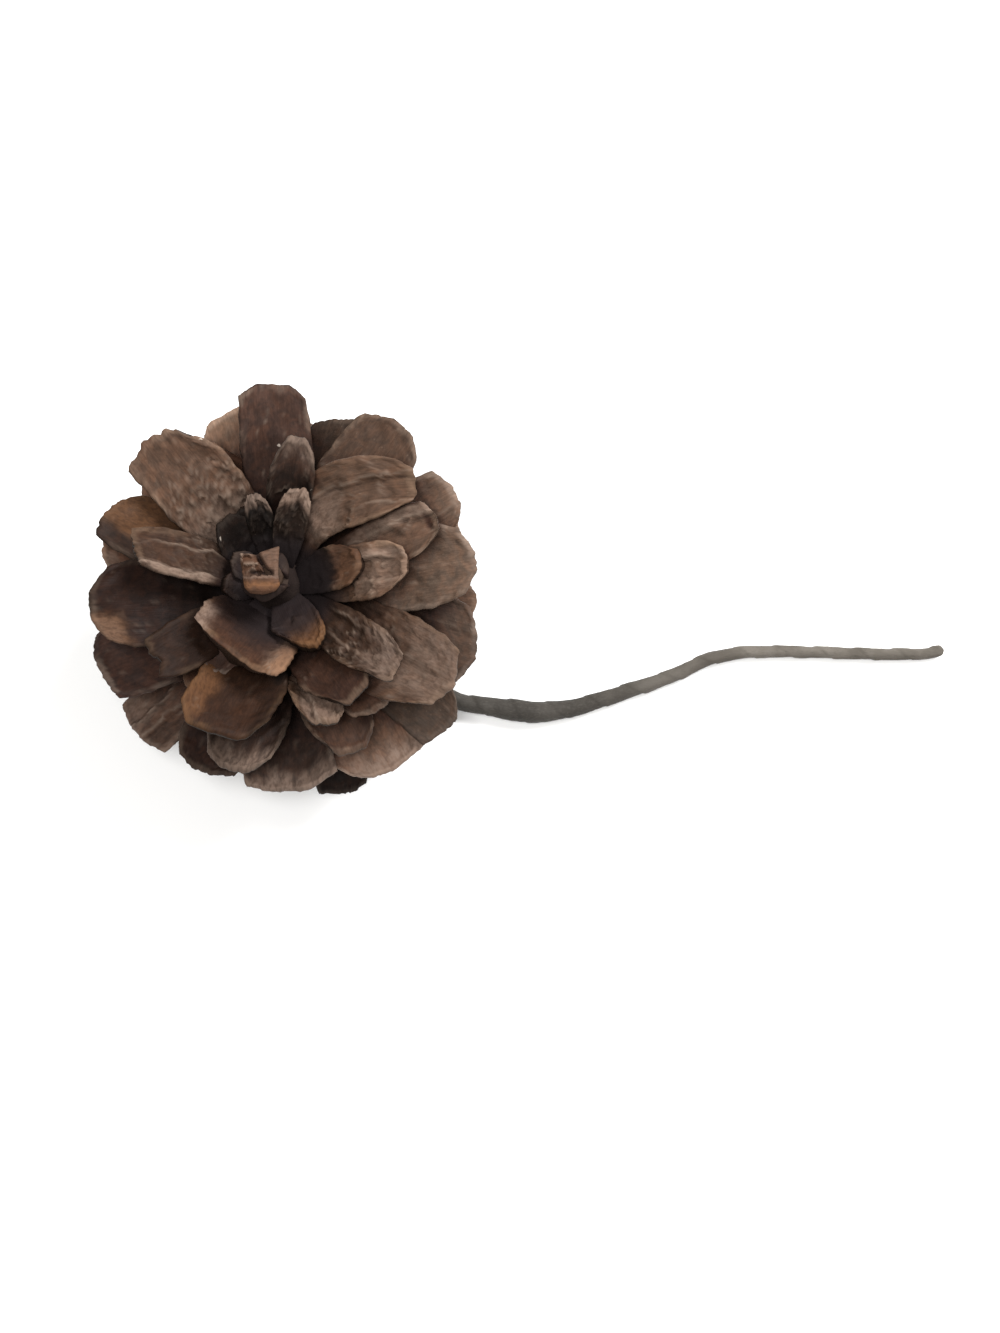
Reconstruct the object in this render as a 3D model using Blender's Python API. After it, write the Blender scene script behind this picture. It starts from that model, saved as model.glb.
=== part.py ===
"""An open pine cone that stands on its base, on a florist's wire stem wrapped in paper tape.

Metres, +Z up. The cone's axis is Z and its stalk scar lies on z = 0. The stem leaves the stalk
and runs along the surface towards +X.
"""

import math
import random
from types import SimpleNamespace

import bmesh
import bpy
from mathutils import Matrix, Vector

MM = 0.001

# The spiral of scales: scale 0 is at the cone's tip, and each next one is lower and a golden angle on.
# The first few are the closed bud at the tip. The next few are small and leave a dark well round it.
SCALE_COUNT = 72
BUD_COUNT = 5
SMALL_COUNT = 13
GOLDEN_ANGLE = math.radians(-137.5)
FIRST_AZIMUTH = math.radians(33)

# The cone's outline, as (scale number, size in mm) pairs that a smooth curve joins.
TIP_RADIUS = (
    (5, 9.5), (12, 12.0), (15, 17.0), (20, 21.0), (28, 26.5), (36, 30.0),
    (43, 31.0), (51, 29.5), (59, 26.0), (66, 20.5), (71, 16.0),
)
TIP_HEIGHT = (
    (5, 39.0), (12, 40.5), (15, 42.5), (20, 42.0), (28, 38.0), (36, 32.0),
    (43, 26.5), (51, 19.0), (59, 11.0), (66, 3.0), (71, -0.8),
)
ROOT_HEIGHT = ((5, 32.0), (14, 28.5), (36, 20.0), (59, 12.5), (66, 9.8), (71, 8.4))
SCALE_WIDTH = ((5, 4.0), (12, 5.5), (15, 9.0), (20, 10.5), (30, 12.0), (43, 12.5), (59, 12.0), (71, 9.0))

# The same sizes for the bud, from its first scale to its last.
BUD_TIP_RADIUS, BUD_TIP_HEIGHT = (1.4, 3.2), (43.2, 41.0)
BUD_ROOT_HEIGHT, BUD_WIDTH = (36.6, 34.6), (3.0, 4.6)

# How far chance moves each scale either way: degrees, mm, and shares of its width and length.
SEED = 20
TURN_SPREAD, ROLL_SPREAD = 4, 12
RADIUS_SPREAD, HEIGHT_SPREAD = 1.0, 1.2
WIDTH_SPREAD, SWAY_SPREAD = 0.08, 0.05
CORNER_SPREAD, REACH_SPREAD = 0.12, 0.8

# The woody axis, as (height, radius) pairs in mm. The lowest stretch is the stalk.
AXIS_OUTLINE = (
    (0.0, 3.5), (5.4, 3.7), (8.0, 7.0), (13.0, 8.2), (21.0, 7.2),
    (28.0, 5.2), (33.0, 3.4), (37.0, 2.3), (42.0, 1.9),
)
AXIS_SIDES = 14
ROOT_SINK = 1.6
LEAST_ROOT_RADIUS = 0.4

# How far the cone leans sideways for each unit of height.
LEAN = Vector((-0.027, 0.031, 0))

# One scale's blade. Places along it are shares of its length, and places across it run from -1 to 1.
NECK = 0.55
WIDEST = 0.70
SHOULDER = 1.1
SHOULDER_FALL = 3.0
END_BLEND = (0.35, 1.0)
BLADE_THICKNESS = 1.15 * MM
ROOT_THICKNESS = 1.9 * MM
ROOT_TAPER_END = 0.35
LIP_THICKNESS = 1.5 * MM
LIP_START, LIP_CREST, LIP_END = 0.70, 0.90, 1.06
LIP_THINNING = 0.6
EDGE_THINNING = 0.42
CUP = 0.13
BOW = 0.055
ROOT_ROLL = 0.25
BLADE_STATIONS = (0.0, 0.26, 0.54, 0.76, 0.91, 1.0)
SMALL_STATIONS = (0.0, 0.45, 0.80, 1.0)
BLADE_ACROSS = (-1.0, -0.42, 0.42, 1.0)

# The usual end of a scale as four corners: shares of half its width across, and mm beyond its tip.
FULL_HALF_WIDTH = 5.0
PLAIN_END = ((-0.74, -1.7), (-0.34, -0.1), (0.34, -0.1), (0.74, -1.7))

# Scales seen well in the photograph: the tip's radius and height and the width in mm, how far each is
# turned round the cone and rolled about its own length in degrees, and how far its end (sway) and its
# middle (swing) bend sideways as shares of its length. Its end is four corners, each in mm across and
# beyond the tip. The rule gives what isn't said.
SEEN_SCALES = {
    0: {
        "radius": 2.1, "turn": 26.0, "height": 43.3, "width": 5.2, "sway": 0.11,
        "end": ((-2.6, -0.7), (-1.2, 0.0), (1.0, 0.3), (2.6, -0.2)),
    },
    1: {
        "radius": 1.5, "turn": 4.0, "height": 42.9, "width": 6.4, "sway": -0.13,
        "end": ((-3.1, -0.2), (-1.4, 0.1), (1.2, 0.0), (3.1, -0.3)),
    },
    2: {
        "radius": 2.8, "turn": 20.0, "height": 42.5, "width": 5.0, "sway": 0.08,
        "end": ((-2.4, -0.5), (-1.0, 0.0), (1.0, -0.3), (2.5, 0.2)),
    },
    3: {
        "radius": 0.5, "turn": 6.0, "height": 42.6, "width": 5.6,
        "end": ((-2.6, -0.3), (-1.2, 0.0), (1.2, 0.1), (2.7, -0.2)),
    },
    4: {
        "radius": 2.8, "turn": -6.0, "height": 42.2, "width": 5.4,
        "end": ((-2.6, -0.4), (-1.2, 0.1), (1.2, 0.0), (2.5, -0.6)),
    },
    5: {
        "radius": 13.7, "turn": 7.1, "height": 40.5, "width": 5.0,
        "end": ((-2.3, -1.4), (-1.1, 0.4), (1.3, -0.4), (2.1, -1.8)),
    },
    6: {
        "radius": 11.5, "turn": 9.5, "height": 38.5, "width": 7.6,
        "end": ((-3.0, -4.2), (-1.1, -1.0), (1.1, 0.9), (3.3, -0.4)),
    },
    7: {"radius": 7.6, "height": 35.0, "width": 4.4},
    8: {
        "radius": 13.4, "turn": -1.5, "height": 40.5, "width": 6.8,
        "end": ((-3.3, -2.5), (-1.5, -0.1), (1.5, 0.1), (2.7, -2.2)),
    },
    9: {
        "radius": 16.5, "turn": 1.2, "height": 36.0, "width": 6.2,
        "end": ((-3.6, -0.9), (-1.4, 0.5), (1.4, -0.5), (1.5, -2.6)),
    },
    10: {
        "radius": 12.6, "turn": 5.1, "height": 40.0, "width": 4.2,
        "end": ((-1.6, -1.4), (-0.8, -0.1), (0.8, 0.2), (1.7, -1.0)),
    },
    11: {
        "radius": 23.3, "turn": 1.6, "height": 40.5, "width": 8.0, "roll": -8.0,
        "end": ((-2.9, -4.1), (-2.4, 0.2), (2.3, -0.6), (3.8, -4.1)),
    },
    12: {"radius": 7.8, "height": 34.5, "width": 4.6},
    13: {
        "radius": 24.0, "turn": 3.7, "height": 42.0, "width": 10.0, "sway": -0.3, "swing": 0.16,
        "end": ((-3.7, -2.4), (-2.2, 0.1), (2.2, -0.1), (3.8, -1.8)),
    },
    14: {
        "radius": 12.6, "turn": -21.3, "height": 41.0, "width": 15.5, "roll": -10.0,
        "end": ((-7.7, -1.2), (-4.0, -0.5), (4.0, 0.4), (7.4, -0.3)),
    },
    15: {"radius": 12.5, "height": 34.0, "width": 7.0},
    16: {
        "radius": 19.9, "turn": 13.7, "height": 42.0, "width": 8.5, "roll": 8.0,
        "end": ((-3.0, -2.8), (-1.2, -0.2), (1.2, 0.3), (2.9, 0.0)),
    },
    17: {
        "radius": 21.0, "turn": 0.5, "height": 40.0, "width": 8.0,
        "end": ((-3.6, -0.6), (-1.4, -0.2), (0.2, -1.2), (2.2, 0.9)),
    },
    18: {
        "radius": 20.7, "turn": 3.4, "height": 43.0, "width": 6.8,
        "end": ((-2.7, -2.0), (-1.3, 0.0), (1.3, -0.0), (2.6, -2.7)),
    },
    19: {
        "radius": 21.8, "turn": 4.5, "height": 39.5, "width": 11.5,
        "end": ((-3.0, -2.6), (-1.6, 0.2), (2.8, -0.6), (4.6, -3.2)),
    },
    20: {
        "radius": 20.0, "turn": 7.4, "height": 42.0, "width": 7.4, "roll": 20.0, "swing": -0.05,
        "end": ((-3.1, 0.4), (-1.1, 0.2), (1.1, -0.2), (2.5, -0.7)),
    },
    21: {
        "radius": 25.7, "turn": -7.4, "height": 41.5, "width": 8.5,
        "end": ((-3.2, -2.2), (-1.3, 0.1), (1.3, 0.0), (3.9, -1.6)),
    },
    22: {
        "radius": 24.5, "turn": 6.1, "height": 40.5, "width": 13.0,
        "end": ((-7.0, -2.6), (-4.6, 0.6), (4.0, -0.5), (5.4, -3.5)),
    },
    23: {"radius": 13.0, "height": 34.0, "width": 7.0},
    24: {
        "radius": 30.2, "turn": -6.6, "height": 36.5, "width": 13.5,
        "end": ((-4.9, -4.4), (-3.6, -1.0), (0.6, 0.8), (5.6, -1.1)),
    },
    25: {
        "radius": 27.1, "turn": -4.8, "height": 39.0, "width": 13.2,
        "end": ((-5.5, -2.8), (-2.2, -0.0), (2.2, 0.0), (5.1, -2.0)),
    },
    26: {
        "radius": 29.5, "turn": -8.0, "height": 38.5, "width": 13.5,
        "end": ((-5.6, -2.2), (-2.2, 0.1), (1.8, 0.1), (5.6, -2.0)),
    },
    27: {
        "radius": 22.8, "turn": 7.7, "height": 37.5, "width": 7.4,
        "end": ((-3.0, -3.0), (-1.8, -0.4), (1.8, 0.5), (3.2, -1.1)),
    },
    28: {
        "radius": 27.3, "turn": -14.5, "height": 38.5, "width": 13.0,
        "end": ((-4.4, -3.4), (-1.9, 0.0), (2.1, 0.7), (7.1, -1.3)),
    },
    29: {
        "radius": 30.3, "turn": 1.5, "height": 37.5, "width": 12.5,
        "end": ((-4.9, -1.9), (-1.4, 0.1), (1.4, -0.1), (5.0, -2.0)),
    },
    30: {"radius": 20.0, "height": 30.0},
    31: {
        "radius": 29.6, "turn": 0.8, "height": 35.5, "width": 10.8,
        "end": ((-4.8, -2.0), (-2.5, 0.0), (2.8, 0.2), (5.2, -1.5)),
    },
    32: {"radius": 24.0, "turn": -2.0, "height": 30.0, "width": 10.0},
    33: {
        "radius": 27.4, "turn": -17.0, "height": 34.5, "width": 10.5,
        "end": ((-3.3, -2.0), (-1.5, -0.4), (1.6, 0.6), (4.5, 0.2)),
    },
    34: {
        "radius": 30.1, "turn": -12.2, "height": 33.0, "width": 11.5,
        "end": ((-3.9, -1.1), (-1.5, 0.1), (1.9, 0.1), (5.4, -1.6)),
    },
    35: {
        "radius": 28.6, "turn": -1.5, "height": 32.5, "width": 11.5,
        "end": ((-4.8, -1.6), (-2.1, 0.1), (2.1, -0.1), (4.6, -3.2)),
    },
    36: {"radius": 24.0},
    37: {
        "radius": 31.3, "turn": -3.3, "height": 31.0, "width": 13.5,
        "end": ((-6.4, -1.0), (-2.0, 0.5), (2.0, -0.5), (5.9, -2.9)),
    },
    38: {
        "radius": 29.5, "turn": -1.9, "height": 31.0, "width": 12.5,
        "end": ((-4.7, -1.1), (-2.0, 0.3), (2.0, 0.0), (5.5, -1.0)),
    },
    39: {
        "radius": 27.4, "turn": -0.1, "height": 31.0, "width": 10.5,
        "end": ((-4.0, -0.4), (-1.7, 0.7), (1.7, -0.7), (4.3, -2.3)),
    },
    40: {
        "radius": 27.4, "turn": 1.6, "height": 29.5, "width": 10.5,
        "end": ((-3.2, -2.7), (-2.3, -0.1), (2.3, 0.1), (4.5, -2.8)),
    },
    41: {
        "radius": 27.4, "turn": 12.0, "height": 29.0, "width": 9.5,
        "end": ((-3.4, -0.4), (-1.0, 0.6), (1.5, 0.2), (3.6, -1.5)),
    },
    42: {"radius": 29.0, "turn": 2.0},
    43: {
        "radius": 30.2, "turn": 5.6, "height": 26.5, "width": 11.5,
        "end": ((-4.2, -1.0), (-1.6, 0.1), (1.4, 0.0), (5.3, -1.2)),
    },
    44: {
        "radius": 28.3, "turn": 6.7, "height": 28.0, "width": 9.6,
        "end": ((-4.7, -0.6), (-2.8, 0.6), (2.8, -0.6), (3.9, -2.2)),
    },
    45: {
        "radius": 32.4, "turn": -1.9, "height": 19.0, "width": 10.5,
        "end": ((-5.5, -1.3), (-1.4, -0.1), (1.4, 0.1), (3.8, -2.2)),
    },
    46: {"radius": 27.0},
    47: {"radius": 26.0},
    48: {
        "radius": 30.5, "turn": -2.2, "height": 22.0, "width": 14.5,
        "end": ((-6.3, -0.9), (-3.1, 0.0), (3.1, 0.1), (8.3, -2.7)),
    },
    49: {"radius": 28.2},
    51: {
        "radius": 31.6, "turn": 2.1, "height": 20.0, "width": 11.0,
        "end": ((-4.9, -1.2), (-1.8, 0.0), (1.8, 0.1), (5.6, -1.2)),
    },
    52: {"radius": 28.0},
    53: {
        "radius": 31.3, "turn": -6.6, "height": 18.0, "width": 14.0,
        "end": ((-4.9, -1.8), (-1.9, -0.1), (1.9, 0.4), (7.6, -0.9)),
    },
    61: {
        "radius": 31.2, "turn": 1.5, "height": 9.0, "width": 9.5,
        "end": ((-4.8, -0.9), (-0.9, 0.0), (0.9, 0.1), (3.5, -1.1)),
    },
}

# The lowest scales reach down to the surface, but stand clear of the stem. Heights in mm.
FIRST_LOW = 59
STEM_ROOM = math.radians(36)
LIFT_BESIDE_STEM = 8.0

# The wire: a loop round the stalk, two legs twisted on each other, and one leg that goes on as the stem.
STEM_AZIMUTH = math.radians(-33)
WIRE_RADIUS = 0.42 * MM
LOOP_RADIUS = 4.4 * MM
LOOP_HEIGHT = 3.0 * MM
LOOP_GAP = math.radians(38)
TWIST_START = 8.5 * MM
TWIST_END = 44 * MM
TWIST_PITCH = 9 * MM
TWIST_RADIUS = 0.53 * MM
TWIST_STEP = math.radians(40)
LOOP_POINTS = 18
SINGLE_POINTS = 26
SINGLE_START = 3 * MM

# The stem's axis, as points in mm chosen by eye: out of the stalk, under the scales and along the surface.
STEM_ROUTE = (
    (7.1, -4.6, 2.8),
    (12.8, -8.0, 2.4),
    (19.6, -11.9, 2.2),
    (26.0, -14.9, 2.1),
    (31.5, -15.8, 2.0),
    (38.0, -16.6, 2.0),
    (44.5, -15.9, 1.8),
    (53.0, -13.3, 1.6),
    (60.6, -10.7, 1.45),
    (66.0, -8.2, 1.35),
    (70.7, -7.0, 1.25),
    (76.0, -6.6, 1.2),
    (84.0, -6.7, 1.1),
    (93.5, -7.0, 1.05),
    (101.5, -7.0, 1.05),
    (105.5, -6.4, 1.3),
)

# The tape's outer radius against the distance along the stem, in mm.
TAPE_RADIUS = (
    (0, 1.45),
    (22, 1.40),
    (27, 1.55),
    (31, 1.82),
    (35, 1.70),
    (41, 1.42),
    (52, 1.20),
    (64, 1.08),
    (76, 0.98),
    (96, 0.96),
    (103, 0.90),
)
TAPE_BORE_TWISTED = 1.12 * MM
TAPE_BORE_SINGLE = 0.60 * MM
BORE_NARROWS = (1 * MM, 9 * MM)
TAPE_SIDES = 10
TAPE_STEP = 2.6 * MM
TAPE_MOUTH = 1.2 * MM
TAPE_OVERHANG = 1.2 * MM
WIRE_OVERHANG = 0.6 * MM

# How finely the stem's curve is divided, and over what distance its direction is measured.
CURVE_PIECES = 12
DIRECTION_REACH = 0.4 * MM

# The cutter for what would lie below the surface: half its side and its depth.
GROUND_HALF, GROUND_DEPTH = 60 * MM, 10 * MM

COLOURS = {
    "cone": ((0.115, 0.062, 0.036, 1.0), 0.72, 0.0),
    "stem_wire": ((0.30, 0.30, 0.29, 1.0), 0.45, 0.9),
    "stem_tape": ((0.130, 0.118, 0.100, 1.0), 0.80, 0.0),
}


def clear_scene():
    for obj in list(bpy.data.objects):
        bpy.data.objects.remove(obj, do_unlink=True)


def smooth_profile(points, x):
    """The value at x of a smooth curve through (x, value) points."""
    if x <= points[0][0]:
        return points[0][1]
    if x >= points[-1][0]:
        return points[-1][1]
    i = next(k for k in range(len(points) - 1) if x <= points[k + 1][0])
    (x0, y0), (x1, y1) = points[i], points[i + 1]

    def slope(k):
        low, high = max(k - 1, 0), min(k + 1, len(points) - 1)
        return (points[high][1] - points[low][1]) / (points[high][0] - points[low][0])

    span = x1 - x0
    t = (x - x0) / span
    return (
        (2 * t**3 - 3 * t**2 + 1) * y0
        + (t**3 - 2 * t**2 + t) * span * slope(i)
        + (3 * t**2 - 2 * t**3) * y1
        + (t**3 - t**2) * span * slope(i + 1)
    )


def smooth_step(low, high, x):
    t = min(max((x - low) / (high - low), 0.0), 1.0)
    return t * t * (3 - 2 * t)


def angle_between(a, b):
    return abs((a - b + math.pi) % math.tau - math.pi)


def outline(index):
    """The tip's radius and height, the root's height and the width that the rule gives one scale, in mm."""
    if index < BUD_COUNT:
        share = index / (BUD_COUNT - 1)
        pairs = (BUD_TIP_RADIUS, BUD_TIP_HEIGHT, BUD_ROOT_HEIGHT, BUD_WIDTH)
        return [first + (last - first) * share for first, last in pairs]
    return [smooth_profile(points, index) for points in (TIP_RADIUS, TIP_HEIGHT, ROOT_HEIGHT, SCALE_WIDTH)]


def usual_end(half_width, draw):
    """The four corners of an end that wasn't seen, each moved a little by chance."""
    share = min(half_width / FULL_HALF_WIDTH, 1.0)
    corners = []
    for across, beyond in PLAIN_END:
        side = half_width * (across + CORNER_SPREAD * draw.uniform(-1, 1))
        corners.append((side, share * (beyond + REACH_SPREAD * draw.uniform(-1, 1))))
    return corners


def scale_habit(index):
    """Where one scale grows, where its tip reaches, and how it is turned, in metres and radians."""
    draw = random.Random(SEED * 1000 + index)
    chance = [draw.uniform(-1, 1) * smooth_step(BUD_COUNT, SMALL_COUNT, index) for _ in range(6)]
    seen = SEEN_SCALES.get(index, {})
    tip_r, tip_z, root_z, width = outline(index)
    azimuth = FIRST_AZIMUTH + GOLDEN_ANGLE * index
    azimuth += math.radians(seen.get("turn", TURN_SPREAD * chance[0]))
    root_r = max(smooth_profile(AXIS_OUTLINE, root_z) - ROOT_SINK, LEAST_ROOT_RADIUS)
    reach_r = seen.get("radius", tip_r + RADIUS_SPREAD * chance[1])
    reach_z = seen.get("height", tip_z + HEIGHT_SPREAD * chance[2])
    if index >= FIRST_LOW:
        beside_stem = angle_between(azimuth, STEM_AZIMUTH) < STEM_ROOM
        reach_z = max(reach_z, LIFT_BESIDE_STEM) if beside_stem else min(reach_z, tip_z)
    half_width = seen.get("width", width * (1 + WIDTH_SPREAD * chance[3])) / 2
    end = seen.get("end") or usual_end(half_width, draw)
    return SimpleNamespace(
        azimuth=azimuth,
        root=(root_r * MM, root_z * MM),
        tip=(reach_r * MM, reach_z * MM),
        half_width=half_width * MM,
        roll=math.radians(seen.get("roll", ROLL_SPREAD * chance[4])),
        sway=seen.get("sway", SWAY_SPREAD * chance[5]),
        swing=seen.get("swing", 0.0),
        end=[(across * MM, beyond * MM) for across, beyond in end],
    )


def lean(point):
    """The whole cone leans a little, more the higher it is."""
    return point + LEAN * point.z


def blade_place(habit, s, column):
    """How far along the blade one of its columns has come at station s, as a share, and how far across."""
    fan = NECK + (1 - NECK) * math.sin(math.pi / 2 * min(s / WIDEST, 1.0)) ** SHOULDER
    side = habit.half_width * fan * BLADE_ACROSS[column]
    end_side, end_beyond = habit.end[column]
    beyond = max((s - WIDEST) / (1 - WIDEST), 0.0)
    side += (end_side - side) * beyond**SHOULDER_FALL
    length = math.dist(habit.root, habit.tip)
    return s + end_beyond / length * smooth_step(*END_BLEND, s), side


def blade_thickness(u, v):
    """The blade's thickness above and below its middle surface. The lip below its end is the thickest."""
    toward_root = 1 - smooth_step(0.0, ROOT_TAPER_END, u)
    body = BLADE_THICKNESS + (ROOT_THICKNESS - BLADE_THICKNESS) * toward_root
    lip = LIP_THICKNESS * smooth_step(LIP_START, LIP_CREST, u) * (1 - smooth_step(LIP_CREST, LIP_END, u))
    thin = 1 - EDGE_THINNING * v * v
    return body / 2 * thin, (body / 2 + lip * (1 - LIP_THINNING * v * v)) * thin


def blade_frame(habit, u):
    """The point on the blade's middle line at u, and the directions across it and out of its upper face."""
    outward = Vector((math.cos(habit.azimuth), math.sin(habit.azimuth), 0))
    sideways = Vector((-math.sin(habit.azimuth), math.cos(habit.azimuth), 0))
    up = Vector((0, 0, 1))
    root = outward * habit.root[0] + up * habit.root[1]
    chord = outward * (habit.tip[0] - habit.root[0]) + up * (habit.tip[1] - habit.root[1])
    length = chord.length
    lift = (up * chord.dot(outward) - outward * chord.dot(up)) / length
    bow, sway, swing = BOW * length, habit.sway * length, habit.swing * length
    arch, slope = 4 * u * (1 - u), 4 * (1 - 2 * u)
    point = root + chord * u + lift * (bow * arch) + sideways * (sway * u * u + swing * arch)
    along = chord + lift * (bow * slope) + sideways * (sway * 2 * u + swing * slope)
    along.normalize()
    turn = Matrix.Rotation(habit.roll * (ROOT_ROLL + (1 - ROOT_ROLL) * u), 3, along)
    across = turn @ (sideways - along * sideways.dot(along)).normalized()
    return point, across, along.cross(across)


def blade_ring(habit, s):
    """The closed ring of points round the blade at s, across its upper face and back along its lower one."""
    ring = []
    for face in (1, -1):
        for column in range(len(BLADE_ACROSS))[::face]:
            u, side = blade_place(habit, s, column)
            middle, across, out = blade_frame(habit, u)
            v = BLADE_ACROSS[column]
            above, below = blade_thickness(s, v)
            offset = above if face > 0 else -below
            ring.append(lean(middle + across * side + out * (CUP * abs(side * v) + offset)))
    return ring


def loft(name, rings):
    """A closed mesh through rings with the same even number of points, capped with strips at both ends."""
    mesh = bmesh.new()
    rows = [[mesh.verts.new(p) for p in ring] for ring in rings]
    count = len(rows[0])
    for low, high in zip(rows, rows[1:]):
        for i in range(count):
            j = (i + 1) % count
            mesh.faces.new((low[i], low[j], high[j], high[i]))
    for row in (rows[0], rows[-1]):
        for i in range(count // 2 - 1):
            mesh.faces.new((row[i], row[i + 1], row[-2 - i], row[-1 - i]))
    bmesh.ops.triangulate(mesh, faces=mesh.faces)
    bmesh.ops.recalc_face_normals(mesh, faces=mesh.faces)
    data = bpy.data.meshes.new(name)
    mesh.to_mesh(data)
    mesh.free()
    obj = bpy.data.objects.new(name, data)
    bpy.context.scene.collection.objects.link(obj)
    return obj


def make_axis():
    """The woody axis with its stalk, turned about Z."""
    rings = []
    for height, radius in AXIS_OUTLINE:
        rings.append(
            [
                lean(Vector((radius * math.cos(a), radius * math.sin(a), height)) * MM)
                for a in (math.tau * k / AXIS_SIDES for k in range(AXIS_SIDES))
            ]
        )
    return loft("cone", rings)


def make_scale(index):
    habit = scale_habit(index)
    stations = SMALL_STATIONS if index < SMALL_COUNT else BLADE_STATIONS
    return loft(f"scale_{index}", [blade_ring(habit, s) for s in stations])


def bake(obj):
    """Replaces the object's mesh with what its modifiers make of it."""
    graph = bpy.context.evaluated_depsgraph_get()
    made = bpy.data.meshes.new_from_object(obj.evaluated_get(graph))
    obj.modifiers.clear()
    obj.data = made


def keep_outer_shell(obj):
    """Drops loose scraps and the walls of sealed hollows, so that one solid body is left."""
    mesh = bmesh.new()
    mesh.from_mesh(obj.data)
    islands = []
    unseen = set(mesh.verts)
    while unseen:
        island, edge = set(), [unseen.pop()]
        while edge:
            vert = edge.pop()
            island.add(vert)
            for link in vert.link_edges:
                other = link.other_vert(vert)
                if other in unseen:
                    unseen.discard(other)
                    edge.append(other)
        islands.append(island)
    largest = max(islands, key=len)
    scraps = [v for island in islands if island is not largest for v in island]
    bmesh.ops.delete(mesh, geom=scraps, context="VERTS")
    mesh.to_mesh(obj.data)
    mesh.free()


def add_boolean(obj, operation, **operand):
    modifier = obj.modifiers.new(operation.title(), "BOOLEAN")
    modifier.operation = operation
    modifier.solver = "EXACT"
    for name, value in operand.items():
        setattr(modifier, name, value)


def slab_below_ground():
    """A cutter for everything below z = 0."""
    half = GROUND_HALF
    corners = [Vector((x, y, 0)) for x, y in ((-half, -half), (half, -half), (half, half), (-half, half))]
    return loft("ground_cutter", [[c - Vector((0, 0, GROUND_DEPTH)) for c in corners], corners])


def make_cone():
    """The axis and its scales as one body, cut flat where it stands on the surface."""
    cone = make_axis()
    scales = bpy.data.collections.new("scales")
    bpy.context.scene.collection.children.link(scales)
    for index in range(SCALE_COUNT):
        scale = make_scale(index)
        bpy.context.scene.collection.objects.unlink(scale)
        scales.objects.link(scale)
    add_boolean(cone, "UNION", operand_type="COLLECTION", collection=scales)
    bpy.context.view_layer.update()
    bake(cone)
    for scale in list(scales.objects):
        bpy.data.objects.remove(scale)
    bpy.data.collections.remove(scales)
    ground = slab_below_ground()
    add_boolean(cone, "DIFFERENCE", object=ground)
    bpy.context.view_layer.update()
    bake(cone)
    bpy.data.objects.remove(ground)
    keep_outer_shell(cone)
    return cone


def stem_points():
    """The stem's axis as closely spaced points on one smooth curve through its route."""
    route = [Vector(p) * MM for p in STEM_ROUTE]
    padded = [2 * route[0] - route[1], *route, 2 * route[-1] - route[-2]]
    points = []
    for a, b, c, d in zip(padded, padded[1:], padded[2:], padded[3:]):
        for k in range(CURVE_PIECES):
            t = k / CURVE_PIECES
            square, cube = 2 * a - 5 * b + 4 * c - d, 3 * b - a - 3 * c + d
            points.append(0.5 * (2 * b + (c - a) * t + square * t**2 + cube * t**3))
    return [*points, route[-1]]


class Route:
    """Distances, points and a steady frame along a line of points."""

    def __init__(self, points):
        self.points = points
        self.at = [0.0]
        for a, b in zip(points, points[1:]):
            self.at.append(self.at[-1] + (b - a).length)
        self.length = self.at[-1]

    def point(self, distance):
        distance = min(max(distance, 0.0), self.length)
        i = next(k for k in range(len(self.at) - 1) if distance <= self.at[k + 1])
        t = (distance - self.at[i]) / (self.at[i + 1] - self.at[i])
        return self.points[i].lerp(self.points[i + 1], t)

    def frame(self, distance):
        """The point there, and two directions square to the line: level, and upward."""
        along = (self.point(distance + DIRECTION_REACH) - self.point(distance - DIRECTION_REACH)).normalized()
        level = along.cross(Vector((0, 0, 1))).normalized()
        return self.point(distance), level, level.cross(along)


def ring_round(route, distance, radius, sides):
    middle, level, up = route.frame(distance)
    turns = (math.tau * k / sides for k in range(sides))
    return [middle + (level * math.cos(a) + up * math.sin(a)) * radius for a in turns]


def twist_leg(route, start_turn):
    """One leg of the twisted pair, from the stalk outwards."""
    end = TWIST_END - TWIST_START
    count = round(end / TWIST_PITCH * math.tau / TWIST_STEP)
    leg = []
    for k in range(count + 1):
        distance = end * k / count
        middle, level, up = route.frame(distance)
        turn = start_turn + math.tau * distance / TWIST_PITCH
        leg.append(middle + (level * math.cos(turn) + up * math.sin(turn)) * TWIST_RADIUS)
    return leg


def loop_arc():
    """The wire's loop round the stalk, open towards the stem."""
    start = STEM_AZIMUTH + LOOP_GAP
    sweep = math.tau - 2 * LOOP_GAP
    return [
        Vector((LOOP_RADIUS * math.cos(a), LOOP_RADIUS * math.sin(a), LOOP_HEIGHT))
        for a in (start + sweep * k / LOOP_POINTS for k in range(LOOP_POINTS + 1))
    ]


def make_wire(route):
    """One steel wire: short leg, loop, long leg twisted on the short one, then the stem inside the tape."""
    short_leg = twist_leg(route, math.pi)
    long_leg = twist_leg(route, 0.0)
    first = TWIST_END - TWIST_START + SINGLE_START
    last = route.length - TAPE_OVERHANG - WIRE_OVERHANG
    single = [route.point(first + (last - first) * k / SINGLE_POINTS) for k in range(SINGLE_POINTS + 1)]
    points = [*short_leg[::-1], *loop_arc(), *long_leg, *single]
    curve = bpy.data.curves.new("stem_wire", "CURVE")
    curve.dimensions = "3D"
    curve.bevel_depth = WIRE_RADIUS
    curve.bevel_resolution = 1
    curve.use_fill_caps = True
    spline = curve.splines.new("POLY")
    spline.points.add(len(points) - 1)
    for target, point in zip(spline.points, points):
        target.co = (*point, 1)
    obj = bpy.data.objects.new("stem_wire", curve)
    bpy.context.scene.collection.objects.link(obj)
    return obj


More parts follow.
